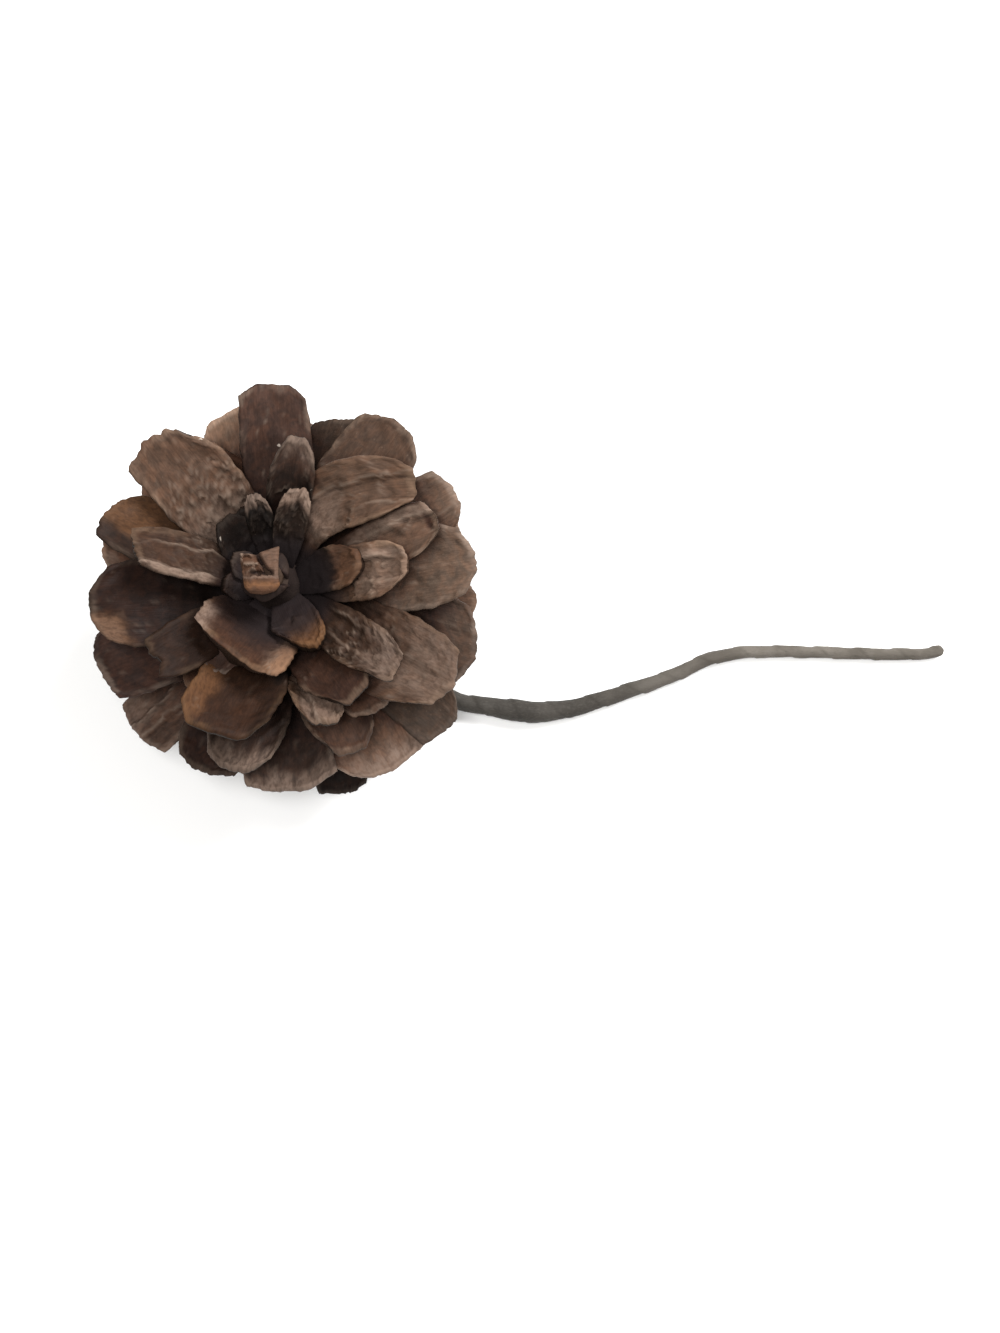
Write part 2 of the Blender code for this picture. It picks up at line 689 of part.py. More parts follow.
def tape_bore(distance):
    """The radius inside the tape: wide over the twisted pair, narrow over the single wire."""
    end = TWIST_END - TWIST_START
    narrow = smooth_step(end + BORE_NARROWS[0], end + BORE_NARROWS[1], distance)
    return TAPE_BORE_TWISTED + (TAPE_BORE_SINGLE - TAPE_BORE_TWISTED) * narrow


def make_tape(route):
    """The tape as a sleeve with an open mouth at the stalk and a closed far end."""
    count = round((route.length - TAPE_MOUTH) / TAPE_STEP)
    stops = [TAPE_MOUTH + (route.length - TAPE_MOUTH) * k / count for k in range(count + 1)]
    bore_end = route.length - TAPE_OVERHANG
    bore = [s for s in stops if s < bore_end - TAPE_STEP / 2] + [bore_end]
    rings = [ring_round(route, s, tape_bore(s), TAPE_SIDES) for s in bore[::-1]]
    for stop in stops:
        rings.append(ring_round(route, stop, smooth_profile(TAPE_RADIUS, stop / MM) * MM, TAPE_SIDES))
    return loft("stem_tape", rings)


def give_material(obj):
    colour, roughness, metallic = COLOURS[obj.name]
    material = bpy.data.materials.new(obj.name)
    material.use_nodes = True
    surface = material.node_tree.nodes["Principled BSDF"]
    surface.inputs["Base Color"].default_value = colour
    surface.inputs["Roughness"].default_value = roughness
    surface.inputs["Metallic"].default_value = metallic
    obj.data.materials.clear()
    obj.data.materials.append(material)


def main():
    clear_scene()
    route = Route(stem_points())
    for obj in (make_cone(), make_wire(route), make_tape(route)):
        give_material(obj)


main()
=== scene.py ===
"""The looks of an open pine cone on a taped wire stem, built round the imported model.

Metres, +Z up. The cone stands on the surface z = 0 with its axis on Z, and its stem runs towards +X.
"""

import math
import random
from functools import reduce
from types import SimpleNamespace

import bpy
import numpy as np
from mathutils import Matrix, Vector, noise
from mathutils.bvhtree import BVHTree


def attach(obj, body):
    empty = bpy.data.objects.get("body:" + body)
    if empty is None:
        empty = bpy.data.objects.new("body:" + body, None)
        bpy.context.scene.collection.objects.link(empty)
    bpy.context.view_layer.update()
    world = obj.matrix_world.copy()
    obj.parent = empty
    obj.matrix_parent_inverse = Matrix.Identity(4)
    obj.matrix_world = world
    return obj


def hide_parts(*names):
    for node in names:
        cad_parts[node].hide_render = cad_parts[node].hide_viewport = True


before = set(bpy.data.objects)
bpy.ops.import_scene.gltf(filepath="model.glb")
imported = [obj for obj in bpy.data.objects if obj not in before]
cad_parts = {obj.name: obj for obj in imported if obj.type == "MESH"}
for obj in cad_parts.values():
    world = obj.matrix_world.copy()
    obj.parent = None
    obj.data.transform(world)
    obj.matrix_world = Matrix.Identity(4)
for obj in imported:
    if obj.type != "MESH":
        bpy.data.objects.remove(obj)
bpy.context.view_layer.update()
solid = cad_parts["cone"].data
cone_tree = BVHTree.FromPolygons([v.co for v in solid.vertices], [p.vertices for p in solid.polygons])

MM = 0.001

# The camera looks down on the cone, and its image is PHOTO_SIZE pixels.
PHOTO_SIZE = (1000, 1333)
FOCAL_PIXELS = 2121
CAMERA_DISTANCE = 350 * MM
CAMERA_ELEVATION = math.radians(86)
CAMERA_TARGET = Vector((32.5, -9.0, 0)) * MM
SENSOR_WIDTH = 36.0

# The spiral of scales, as the solid has it: scale 0 is at the cone's tip.
SCALE_COUNT = 72
BUD_COUNT = 5
SMALL_COUNT = 13
GOLDEN_ANGLE = math.radians(-137.5)
FIRST_AZIMUTH = math.radians(33)
TIP_RADIUS = (
    (5, 9.5), (12, 12.0), (15, 17.0), (20, 21.0), (28, 26.5), (36, 30.0),
    (43, 31.0), (51, 29.5), (59, 26.0), (66, 20.5), (71, 16.0),
)
TIP_HEIGHT = (
    (5, 39.0), (12, 40.5), (15, 42.5), (20, 42.0), (28, 38.0), (36, 32.0),
    (43, 26.5), (51, 19.0), (59, 11.0), (66, 3.0), (71, -0.8),
)
ROOT_HEIGHT = ((5, 32.0), (14, 28.5), (36, 20.0), (59, 12.5), (66, 9.8), (71, 8.4))
SCALE_WIDTH = ((5, 4.0), (12, 5.5), (15, 9.0), (20, 10.5), (30, 12.0), (43, 12.5), (59, 12.0), (71, 9.0))
BUD_TIP_RADIUS, BUD_TIP_HEIGHT = (1.4, 3.2), (43.2, 41.0)
BUD_ROOT_HEIGHT, BUD_WIDTH = (36.6, 34.6), (3.0, 4.6)
SEED = 20
TURN_SPREAD, ROLL_SPREAD = 4, 12
RADIUS_SPREAD, HEIGHT_SPREAD = 1.0, 1.2
WIDTH_SPREAD, SWAY_SPREAD = 0.08, 0.05
CORNER_SPREAD, REACH_SPREAD = 0.12, 0.8
AXIS_OUTLINE = (
    (0.0, 3.5), (5.4, 3.7), (8.0, 7.0), (13.0, 8.2), (21.0, 7.2),
    (28.0, 5.2), (33.0, 3.4), (37.0, 2.3), (42.0, 1.9),
)
ROOT_SINK = 1.6
LEAST_ROOT_RADIUS = 0.4
LEAN = Vector((-0.027, 0.031, 0))
NECK = 0.55
WIDEST = 0.70
SHOULDER = 1.1
SHOULDER_FALL = 3.0
END_BLEND = (0.35, 1.0)
CORNERS_AT = (-1.0, -0.42, 0.42, 1.0)
PAST_CORNER_WIDENS, PAST_CORNER_FALL = 0.4, 2.5
BLADE_THICKNESS = 1.15
ROOT_THICKNESS = 1.9
ROOT_TAPER_END = 0.35
LIP_THICKNESS = 1.5
LIP_START, LIP_CREST, LIP_END = 0.70, 0.90, 1.06
LIP_THINNING = 0.6
CUP = 0.13
BOW = 0.055
ROOT_ROLL = 0.25
FULL_HALF_WIDTH = 5.0
PLAIN_END = ((-0.74, -1.7), (-0.34, -0.1), (0.34, -0.1), (0.74, -1.7))
# Scales that show: the tip's radius in mm, turn in degrees, height and width in mm, and the end's four
# corners in mm, each across and beyond the tip. None leaves a value to the rule.
SEEN_SCALES = {
    0: (2.1, 26.0, 43.3, 5.2, (-2.6, -0.7, -1.2, 0.0, 1.0, 0.3, 2.6, -0.2)),
    1: (1.5, 4.0, 42.9, 6.4, (-3.1, -0.2, -1.4, 0.1, 1.2, 0.0, 3.1, -0.3)),
    2: (2.8, 20.0, 42.5, 5.0, (-2.4, -0.5, -1.0, 0.0, 1.0, -0.3, 2.5, 0.2)),
    3: (0.5, 6.0, 42.6, 5.6, (-2.6, -0.3, -1.2, 0.0, 1.2, 0.1, 2.7, -0.2)),
    4: (2.8, -6.0, 42.2, 5.4, (-2.6, -0.4, -1.2, 0.1, 1.2, 0.0, 2.5, -0.6)),
    5: (13.7, 7.1, 40.5, 5.0, (-2.3, -1.4, -1.1, 0.4, 1.3, -0.4, 2.1, -1.8)),
    6: (11.5, 9.5, 38.5, 7.6, (-3.0, -4.2, -1.1, -1.0, 1.1, 0.9, 3.3, -0.4)),
    7: (7.6, None, 35.0, 4.4, None),
    8: (13.4, -1.5, 40.5, 6.8, (-3.3, -2.5, -1.5, -0.1, 1.5, 0.1, 2.7, -2.2)),
    9: (16.5, 1.2, 36.0, 6.2, (-3.6, -0.9, -1.4, 0.5, 1.4, -0.5, 1.5, -2.6)),
    10: (12.6, 5.1, 40.0, 4.2, (-1.6, -1.4, -0.8, -0.1, 0.8, 0.2, 1.7, -1.0)),
    11: (23.3, 1.6, 40.5, 8.0, (-2.9, -4.1, -2.4, 0.2, 2.3, -0.6, 3.8, -4.1)),
    12: (7.8, None, 34.5, 4.6, None),
    13: (24.0, 3.7, 42.0, 10.0, (-3.7, -2.4, -2.2, 0.1, 2.2, -0.1, 3.8, -1.8)),
    14: (12.6, -21.3, 41.0, 15.5, (-7.7, -1.2, -4.0, -0.5, 4.0, 0.4, 7.4, -0.3)),
    15: (12.5, None, 34.0, 7.0, None),
    16: (19.9, 13.7, 42.0, 8.5, (-3.0, -2.8, -1.2, -0.2, 1.2, 0.3, 2.9, 0.0)),
    17: (21.0, 0.5, 40.0, 8.0, (-3.6, -0.6, -1.4, -0.2, 0.2, -1.2, 2.2, 0.9)),
    18: (20.7, 3.4, 43.0, 6.8, (-2.7, -2.0, -1.3, 0.0, 1.3, 0.0, 2.6, -2.7)),
    19: (21.8, 4.5, 39.5, 11.5, (-3.0, -2.6, -1.6, 0.2, 2.8, -0.6, 4.6, -3.2)),
    20: (20.0, 7.4, 42.0, 7.4, (-3.1, 0.4, -1.1, 0.2, 1.1, -0.2, 2.5, -0.7)),
    21: (25.7, -7.4, 41.5, 8.5, (-3.2, -2.2, -1.3, 0.1, 1.3, 0.0, 3.9, -1.6)),
    22: (24.5, 6.1, 40.5, 13.0, (-7.0, -2.6, -4.6, 0.6, 4.0, -0.5, 5.4, -3.5)),
    23: (13.0, None, 34.0, 7.0, None),
    24: (30.2, -6.6, 36.5, 13.5, (-4.9, -4.4, -3.6, -1.0, 0.6, 0.8, 5.6, -1.1)),
    25: (27.1, -4.8, 39.0, 13.2, (-5.5, -2.8, -2.2, 0.0, 2.2, 0.0, 5.1, -2.0)),
    26: (29.5, -8.0, 38.5, 13.5, (-5.6, -2.2, -2.2, 0.1, 1.8, 0.1, 5.6, -2.0)),
    27: (22.8, 7.7, 37.5, 7.4, (-3.0, -3.0, -1.8, -0.4, 1.8, 0.5, 3.2, -1.1)),
    28: (27.3, -14.5, 38.5, 13.0, (-4.4, -3.4, -1.9, 0.0, 2.1, 0.7, 7.1, -1.3)),
    29: (30.3, 1.5, 37.5, 12.5, (-4.9, -1.9, -1.4, 0.1, 1.4, -0.1, 5.0, -2.0)),
    30: (20.0, None, 30.0, None, None),
    31: (29.6, 0.8, 35.5, 10.8, (-4.8, -2.0, -2.5, 0.0, 2.8, 0.2, 5.2, -1.5)),
    32: (24.0, -2.0, 30.0, 10.0, None),
    33: (27.4, -17.0, 34.5, 10.5, (-3.3, -2.0, -1.5, -0.4, 1.6, 0.6, 4.5, 0.2)),
    34: (30.1, -12.2, 33.0, 11.5, (-3.9, -1.1, -1.5, 0.1, 1.9, 0.1, 5.4, -1.6)),
    35: (28.6, -1.5, 32.5, 11.5, (-4.8, -1.6, -2.1, 0.1, 2.1, -0.1, 4.6, -3.2)),
    36: (24.0, None, None, None, None),
    37: (31.3, -3.3, 31.0, 13.5, (-6.4, -1.0, -2.0, 0.5, 2.0, -0.5, 5.9, -2.9)),
    38: (29.5, -1.9, 31.0, 12.5, (-4.7, -1.1, -2.0, 0.3, 2.0, 0.0, 5.5, -1.0)),
    39: (27.4, -0.1, 31.0, 10.5, (-4.0, -0.4, -1.7, 0.7, 1.7, -0.7, 4.3, -2.3)),
    40: (27.4, 1.6, 29.5, 10.5, (-3.2, -2.7, -2.3, -0.1, 2.3, 0.1, 4.5, -2.8)),
    41: (27.4, 12.0, 29.0, 9.5, (-3.4, -0.4, -1.0, 0.6, 1.5, 0.2, 3.6, -1.5)),
    42: (29.0, 2.0, None, None, None),
    43: (30.2, 5.6, 26.5, 11.5, (-4.2, -1.0, -1.6, 0.1, 1.4, 0.0, 5.3, -1.2)),
    44: (28.3, 6.7, 28.0, 9.6, (-4.7, -0.6, -2.8, 0.6, 2.8, -0.6, 3.9, -2.2)),
    45: (32.4, -1.9, 19.0, 10.5, (-5.5, -1.3, -1.4, -0.1, 1.4, 0.1, 3.8, -2.2)),
    46: (27.0, None, None, None, None),
    47: (26.0, None, None, None, None),
    48: (30.5, -2.2, 22.0, 14.5, (-6.3, -0.9, -3.1, 0.0, 3.1, 0.1, 8.3, -2.7)),
    49: (28.2, None, None, None, None),
    51: (31.6, 2.1, 20.0, 11.0, (-4.9, -1.2, -1.8, 0.0, 1.8, 0.1, 5.6, -1.2)),
    52: (28.0, None, None, None, None),
    53: (31.3, -6.6, 18.0, 14.0, (-4.9, -1.8, -1.9, -0.1, 1.9, 0.4, 7.6, -0.9)),
    61: (31.2, 1.5, 9.0, 9.5, (-4.8, -0.9, -0.9, 0.0, 0.9, 0.1, 3.5, -1.1)),
}
SEEN_ROLLS = {11: -8.0, 14: -10.0, 16: 8.0, 20: 20.0}
SEEN_SWAYS = {0: 0.11, 1: -0.13, 2: 0.08, 13: -0.3}
SEEN_SWINGS = {13: 0.16, 20: -0.05}
TIER_SIZE = 18
FIRST_LOW = 59
STEM_ROOM = math.radians(36)
LIFT_BESIDE_STEM = 8.0

# The fine surface of one scale. Sizes in mm, places along and across it as shares.
BODY_STATIONS = 30
TIP_STATIONS = 22
TIP_END_ANGLE = 0.975
ACROSS_POINTS = 31
EDGE_ROUNDING = 14
TIP_ROUNDING = 16
CORNER_SOFTNESS = 0.12
BUD_CORNER_SOFTNESS = 0.04
BUD_GRAIN = (0.8, 0.35, 1.0)
RIM_WIDTH = 1.2
RIM_HEIGHT = 0.28
FINE_EDGE_THINNING = 0.50
KEEL_HEIGHT = 0.55
UMBO_HEIGHT = 0.75
UMBO_PLACE = 0.89
RAGGED = 0.022
CHIP = 0.30
UNDULATION = 0.20
CURL_SPREAD = 0.030
GRAIN_DEPTH = 0.05
LUMP_DEPTH = 0.12
FACET_DEPTH = 0.45
FACET_SCALE = (0.34, 0.50, 1.0)
FACET_SPREAD = 7.7
FEW_OPEN = 14
# Radii in mm between which the painted shade deep in the cone fades out: for the scales nearest the tip, and
# for the rest.
WELL_SMALL, WELL_LARGE = (6.0, 9.5), (6.5, 12.0)

# How much sky a point of the cone sees: rays are cast from every few points of a scale and spread between
# them. A ray starts clear of the surface and counts as free beyond its reach.
SKY_RAYS = 26
SKY_RINGS, SKY_COLUMNS = 14, 7
SKY_START = 1.2
SKY_REACH = 30.0

# Habits of single scales: how strong the raised rim is, which are crumbled out to their ends, how crumbled
# and how deeply faceted they are, and steps across the upper face as (place across, height in mm) pairs.
RIMS = {
    31: 0.15, 28: 0.1, 25: 0.2, 33: 0.1, 22: 0.25, 19: 0.1, 14: 0.2, 35: 2.0, 48: 2.4,
    53: 2.6, 37: 0.8, 29: 0.3, 18: 1.0, 61: 1.6, 41: 0.8, 40: 0.6,
}
CRUMBLED_OUT = (27,)
CRUMBLED = {28: 0.8, 20: 0.3, 11: 0.45, 24: 0.3, 27: 0.35, 6: 0.2, 5: 0.25, 10: 0.2, 15: 0.2}
FACET_DEPTHS = {
    5: 1.0, 6: 0.9, 9: 1.2, 10: 1.0, 11: 1.2, 13: 0.8, 16: 1.1, 20: 1.1, 21: 0.9, 24: 0.9,
    27: 1.2, 28: 0.7, 35: 1.5, 43: 1.3, 51: 1.6,
}
STEPS = {
    11: ((0.50, 0.90), (-0.30, -0.45)),
    13: ((-0.40, -0.60), (0.28, 0.60)),
    14: ((0.62, 0.60),),
    16: ((0.45, 0.80), (-0.35, -0.40)),
    20: ((-0.50, 0.70), (0.62, 0.80)),
    21: ((0.42, 0.85),),
    24: ((0.15, 0.40),),
    26: ((0.30, -0.55),),
    27: ((-0.25, 0.60),),
    29: ((0.10, -0.35),),
    34: ((-0.25, 0.45),),
    37: ((0.30, 0.30),),
    51: ((-0.30, 0.90), (0.30, -0.90)),
}
# Broken layers that end across a scale, as (place along, height in mm) pairs.
FLAKES = {
    11: ((0.62, -0.55), (0.74, -0.40), (0.83, -0.40), (0.91, -0.35)),
    13: ((0.42, -0.60), (0.66, 0.45), (0.86, -0.35)),
    16: ((0.55, 0.50), (0.80, -0.50)),
    18: ((0.62, 0.50),),
    20: ((0.55, -0.45),),
    21: ((0.50, -0.45), (0.78, -0.35)),
    24: ((0.55, 0.40),),
    26: ((0.60, -0.40),),
    27: ((0.60, 0.45), (0.84, -0.40)),
    28: ((0.40, 0.50), (0.55, -0.40)),
    29: ((0.72, 0.30),),
    37: ((0.68, -0.30),),
    40: ((0.60, 0.40),),
}
# Patches of pale, orange or dark on the upper face: kind, from and to along it, from and to across it,
# and strength. Pale is partly paler bare wood and partly painted highlight along lit edges; dark is partly
# darker wood and partly painted shade, as on the small scales deep round the bud.
KINDS = ("pale", "orange", "dark")
PATCHES = {
    5: (("pale", 0.88, 1.1, -1.1, 1.1, 0.7), ("dark", 0.0, 0.86, -1.1, 1.1, 0.9)),
    6: (("orange", 0.50, 1.1, -0.5, 1.1, 0.35),),
    8: (("orange", 0.76, 1.1, -1.1, 0.6, 0.15), ("dark", 0.0, 0.70, -1.1, 1.1, 0.95)),
    10: (("pale", 0.90, 1.1, -1.1, 1.1, 0.6), ("dark", 0.0, 0.88, -1.1, 1.1, 0.95)),
    11: (("pale", 0.80, 1.1, -0.7, 1.1, 0.40), ("dark", 0.2, 0.7, -1.1, -0.5, 0.4)),
    13: (("pale", 0.30, 0.60, -0.9, 0.3, 0.45),),
    14: (
        ("pale", 0.60, 1.1, 0.60, 1.1, 0.7),
        ("orange", 0.60, 1.1, 0.62, 1.1, 0.6),
        ("pale", 0.66, 1.1, -1.1, -0.68, 0.75),
    ),
    15: (("dark", 0.0, 1.1, -1.1, 1.1, 0.75),),
    16: (("pale", 0.45, 1.1, 0.40, 0.75, 0.8), ("pale", 0.60, 1.1, -0.8, 0.3, 0.35)),
    18: (("pale", 0.90, 1.1, -1.1, 0.6, 0.45), ("dark", 0.0, 0.8, -1.1, 1.1, 0.6)),
    20: (("pale", 0.45, 1.1, 0.58, 1.0, 0.8), ("dark", 0.0, 0.45, -1.1, 0.5, 0.4)),
    21: (("pale", 0.40, 1.1, 0.38, 0.85, 0.5),),
    22: (
        ("orange", 0.35, 1.0, -1.1, -0.50, 0.35),
        ("dark", 0.0, 0.50, -0.6, 1.1, 0.5),
        ("dark", 0.0, 1.1, 0.55, 1.1, 0.5),
    ),
    23: (("dark", 0.0, 1.1, -1.1, 1.1, 0.85),),
    24: (("pale", 0.70, 1.1, -0.6, 0.9, 0.35),),
    25: (
        ("pale", 0.88, 1.1, 0.30, 1.1, 0.30),
        ("orange", 0.84, 1.1, 0.25, 1.1, 0.30),
        ("dark", 0.0, 0.6, -1.1, 1.1, 0.4),
    ),
    27: (("pale", 0.55, 1.1, -0.6, 1.1, 0.45),),
    28: (("pale", 0.28, 0.50, -0.8, 0.9, 0.5),),
    31: (("dark", 0.0, 0.75, -1.1, 1.1, 0.45),),
    33: (("orange", 0.60, 1.1, -1.1, 0.4, 0.35),),
    35: (("pale", 0.90, 1.1, -1.1, 1.1, 0.5),),
    41: (("pale", 0.88, 1.1, 0.2, 1.1, 0.5),),
    48: (("pale", 0.92, 1.1, -1.1, 1.1, 0.8), ("dark", 0.3, 0.85, -0.8, 0.8, 0.4)),
    51: (("pale", 0.80, 1.1, -0.9, 0.0, 0.4),),
    53: (("pale", 0.90, 1.1, -1.1, 1.1, 0.9),),
}
STEP_WIDTH = 0.04
LAYERS_SHOW = (0.25, 0.5)
LEDGE_PLACE, LEDGE_WIDTH = 0.22, 0.24
# The first is how strong the painted shade under a step is, the second the step height in mm at which a ledge
# shows fully.
LEDGE_SHADE, FULL_LEDGE = -0.8, 0.8
LEAST_THICKNESS = 0.45
PATCH_ALONG, PATCH_ACROSS = 0.07, 0.16

# The closed bud at the tip: its outline seen from above, the cleft between its two upper parts, and the gap
# above its lower block, all from its middle.
BUD_MIDDLE = (-2.3, 1.95, 43.05)
BUD_OUTLINE = (
    (-3.0, 2.6), (-1.1, 2.4), (0.9, 3.0), (2.8, 3.6), (2.65, 1.5), (2.6, -0.6), (2.9, -2.1),
    (2.2, -3.0), (0.4, -3.5), (-1.5, -3.3), (-2.3, -2.5), (-2.6, -0.6), (-2.9, 0.6),
)
CLEFT_START, CLEFT_SIDE = (-0.6, 2.6), (0.852, 0.522)
CLEFT_WIDTH, CLEFT_DEPTH = 0.34, 1.5
BLOCK_EDGE = -0.75
GAP_PLACE, GAP_WIDTH, GAP_DEPTH = -0.30, 0.34, 0.9
BUD_RINGS, BUD_SPOKES = 30, 84
BUD_SIDE_RINGS, BUD_SIDE_DEPTH = 8, 4.2
BUD_SINK = 1.7

# The axis.
AXIS_RINGS = 60
AXIS_SIDES = 48
AXIS_ROUGHNESS = 0.22

# The wire and its tape, as the solid has them.
STEM_AZIMUTH = math.radians(-33)
WIRE_RADIUS = 0.42 * MM
LOOP_RADIUS = 4.4 * MM
LOOP_HEIGHT = 3.0 * MM
LOOP_GAP = math.radians(38)
TWIST_START = 8.5 * MM
TWIST_END = 44 * MM
TWIST_PITCH = 9 * MM
TWIST_RADIUS = 0.53 * MM
TWIST_STEP = math.radians(20)
STEM_ROUTE = (
    (7.1, -4.6, 2.8), (12.8, -8.0, 2.4), (19.6, -11.9, 2.2), (26.0, -14.9, 2.1),
    (31.5, -15.8, 2.0), (38.0, -16.6, 2.0), (44.5, -15.9, 1.8), (53.0, -13.3, 1.6),
    (60.6, -10.7, 1.45), (66.0, -8.2, 1.35), (70.7, -7.0, 1.25), (76.0, -6.6, 1.2),
    (84.0, -6.7, 1.1), (93.5, -7.0, 1.05), (101.5, -7.0, 1.05), (105.5, -6.4, 1.3),
)
TAPE_RADIUS = (
    (0, 1.45), (22, 1.40), (27, 1.55), (31, 1.82), (35, 1.70), (41, 1.42),
    (52, 1.20), (64, 1.08), (76, 0.98), (96, 0.96), (103, 0.90),
)
TAPE_MOUTH = 1.2 * MM
TAPE_STEP = 0.32 * MM
TAPE_SIDES = 32
WRAP_PITCH = 6.5 * MM
WRAP_EDGE = 0.17 * MM
WRAP_EDGE_WIDTH = 0.06
TAPE_BORE = 1.0 * MM
BORE_DEPTH = 3.0 * MM

FLOOR_SIZE = 4.0
LAMP_AIM = Vector((0.01, 0, 0.02))


def smooth_profile(points, x):
    """The value at x of a smooth curve through (x, value) points."""
    if x <= points[0][0]:
        return points[0][1]
    if x >= points[-1][0]:
        return points[-1][1]
    i = next(k for k in range(len(points) - 1) if x <= points[k + 1][0])
    (x0, y0), (x1, y1) = points[i], points[i + 1]

    def slope(k):
        low, high = max(k - 1, 0), min(k + 1, len(points) - 1)
        return (points[high][1] - points[low][1]) / (points[high][0] - points[low][0])

    span = x1 - x0
    t = (x - x0) / span
    return (
        (2 * t**3 - 3 * t**2 + 1) * y0
        + (t**3 - 2 * t**2 + t) * span * slope(i)
        + (3 * t**2 - 2 * t**3) * y1
        + (t**3 - t**2) * span * slope(i + 1)
    )


def smooth_step(low, high, x):
    """From 0 at low to 1 at high, for a number or an array."""
    t = np.clip((x - low) / (high - low), 0.0, 1.0)
    return t * t * (3 - 2 * t)


def band(low, high, soft, x):
    """1 between low and high and 0 beyond them, with soft ends."""
    return smooth_step(low - soft, low + soft, x) * (1 - smooth_step(high - soft, high + soft, x))


def angle_between(a, b):
    return abs((a - b + math.pi) % math.tau - math.pi)


def outline(index):
    """The tip's radius and height, the root's height and the width that the rule gives one scale, in mm."""
    if index < BUD_COUNT:
        share = index / (BUD_COUNT - 1)
        pairs = (BUD_TIP_RADIUS, BUD_TIP_HEIGHT, BUD_ROOT_HEIGHT, BUD_WIDTH)
        return [first + (last - first) * share for first, last in pairs]
    return [smooth_profile(points, index) for points in (TIP_RADIUS, TIP_HEIGHT, ROOT_HEIGHT, SCALE_WIDTH)]


def usual_end(half_width, draw):
    """The four corners of an end that wasn't seen, each moved a little by chance."""
    share = min(half_width / FULL_HALF_WIDTH, 1.0)
    corners = []
    for across, beyond in PLAIN_END:
        side = half_width * (across + CORNER_SPREAD * draw.uniform(-1, 1))
        corners.append((side, share * (beyond + REACH_SPREAD * draw.uniform(-1, 1))))
    return corners


def scale_habit(index):
    """Where one scale grows, where its tip reaches, and how it is turned, in mm and radians."""
    draw = random.Random(SEED * 1000 + index)
    chance = [draw.uniform(-1, 1) * smooth_step(BUD_COUNT, SMALL_COUNT, index) for _ in range(6)]
    tip_r, tip_z, root_z, width = outline(index)
    rule = (
        tip_r + RADIUS_SPREAD * chance[1],
        TURN_SPREAD * chance[0],
        tip_z + HEIGHT_SPREAD * chance[2],
        width * (1 + WIDTH_SPREAD * chance[3]),
        None,
    )
    seen = SEEN_SCALES.get(index, rule)
    reach_r, turn, reach_z, width, end = [b if a is None else a for a, b in zip(seen, rule)]
    azimuth = FIRST_AZIMUTH + GOLDEN_ANGLE * index + math.radians(turn)
    root_r = max(smooth_profile(AXIS_OUTLINE, root_z) - ROOT_SINK, LEAST_ROOT_RADIUS)
    if index >= FIRST_LOW:
        beside_stem = angle_between(azimuth, STEM_AZIMUTH) < STEM_ROOM
        reach_z = max(reach_z, LIFT_BESIDE_STEM) if beside_stem else min(reach_z, tip_z)
    if index < BUD_COUNT:
        reach_z -= BUD_SINK
    return SimpleNamespace(
        index=index,
        azimuth=azimuth,
        root=(root_r, root_z),
        tip=(reach_r, reach_z),
        half_width=width / 2,
        roll=math.radians(SEEN_ROLLS.get(index, ROLL_SPREAD * chance[4])),
        sway=SEEN_SWAYS.get(index, SWAY_SPREAD * chance[5]),
        swing=SEEN_SWINGS.get(index, 0.0),
        end=end or usual_end(width / 2, draw),
        length=math.dist((root_r, root_z), (reach_r, reach_z)),
    )


def blade_frame(habit, u):
    """Points on the blade's middle line at an array of u, and the directions across it and out of it."""
    outward = np.array((math.cos(habit.azimuth), math.sin(habit.azimuth), 0))
    sideways = np.array((-math.sin(habit.azimuth), math.cos(habit.azimuth), 0))
    up = np.array((0, 0, 1))
    run, rise = habit.tip[0] - habit.root[0], habit.tip[1] - habit.root[1]
    root = outward * habit.root[0] + up * habit.root[1]
    chord = outward * run + up * rise
    length = habit.length
    lift = (up * run - outward * rise) / length
    bow, sway, swing = BOW * length, habit.sway * length, habit.swing * length
    u = u[..., None]
    arch, slope = 4 * u * (1 - u), 4 * (1 - 2 * u)
    point = root + chord * u + lift * (bow * arch) + sideways * (sway * u * u + swing * arch)
    along = unit(chord + lift * (bow * slope) + sideways * (sway * 2 * u + swing * slope))
    level = unit(sideways - along * (along @ sideways)[..., None])
    upright = np.cross(along, level)
    roll = habit.roll * (ROOT_ROLL + (1 - ROOT_ROLL) * u)
    across = level * np.cos(roll) + upright * np.sin(roll)
    return point, across, np.cross(along, across)


def unit(vectors):
    return vectors / np.linalg.norm(vectors, axis=-1, keepdims=True)


def lean(points):
    """The whole cone leans a little, more the higher it is."""
    return points + points[..., 2:3] * np.array(LEAN)


def soft_end(habit, v):
    """The end's outline at places v across: mm across and mm beyond the tip, with its corners softened."""
    corners = np.reshape(habit.end, (4, 2))
    total = 0
    for shift in (-1, -0.5, 0, 0.5, 1):
        at = v + shift * (BUD_CORNER_SOFTNESS if habit.index < BUD_COUNT else CORNER_SOFTNESS)
        over = np.abs(at) > 1
        side = np.interp(at, CORNERS_AT, corners[:, 0])
        side = side + np.where(over, (at - np.sign(at)) * habit.half_width * PAST_CORNER_WIDENS, 0)
        beyond = np.interp(at, CORNERS_AT, corners[:, 1])
        beyond = beyond - np.where(over, (np.abs(at) - 1) * PAST_CORNER_FALL, 0)
        total = total + np.stack([side, beyond]) / 5
    return total


def waves(draw, x, turns, phase_with=0.0):
    """A sum of sine waves of random phase along x: their numbers of turns are given."""
    total = 0
    for turn in turns:
        slant = draw.uniform(-1.5, 1.5)
        height = draw.uniform(0.5, 1.0)
        start = draw.uniform(0, math.tau)
        total = total + height * np.sin(math.tau * turn * x + slant * phase_with + start)
    return total / len(turns)


def field(points, scale, octaves, offset=0.0):
    """Smooth random numbers from about -1 to 1 at points in mm."""
    flat = points.reshape(-1, 3) * scale + offset
    values = [noise.fractal(Vector(p), 0.9, 2.1, octaves) for p in flat]
    return np.array(values).reshape(points.shape[:-1])


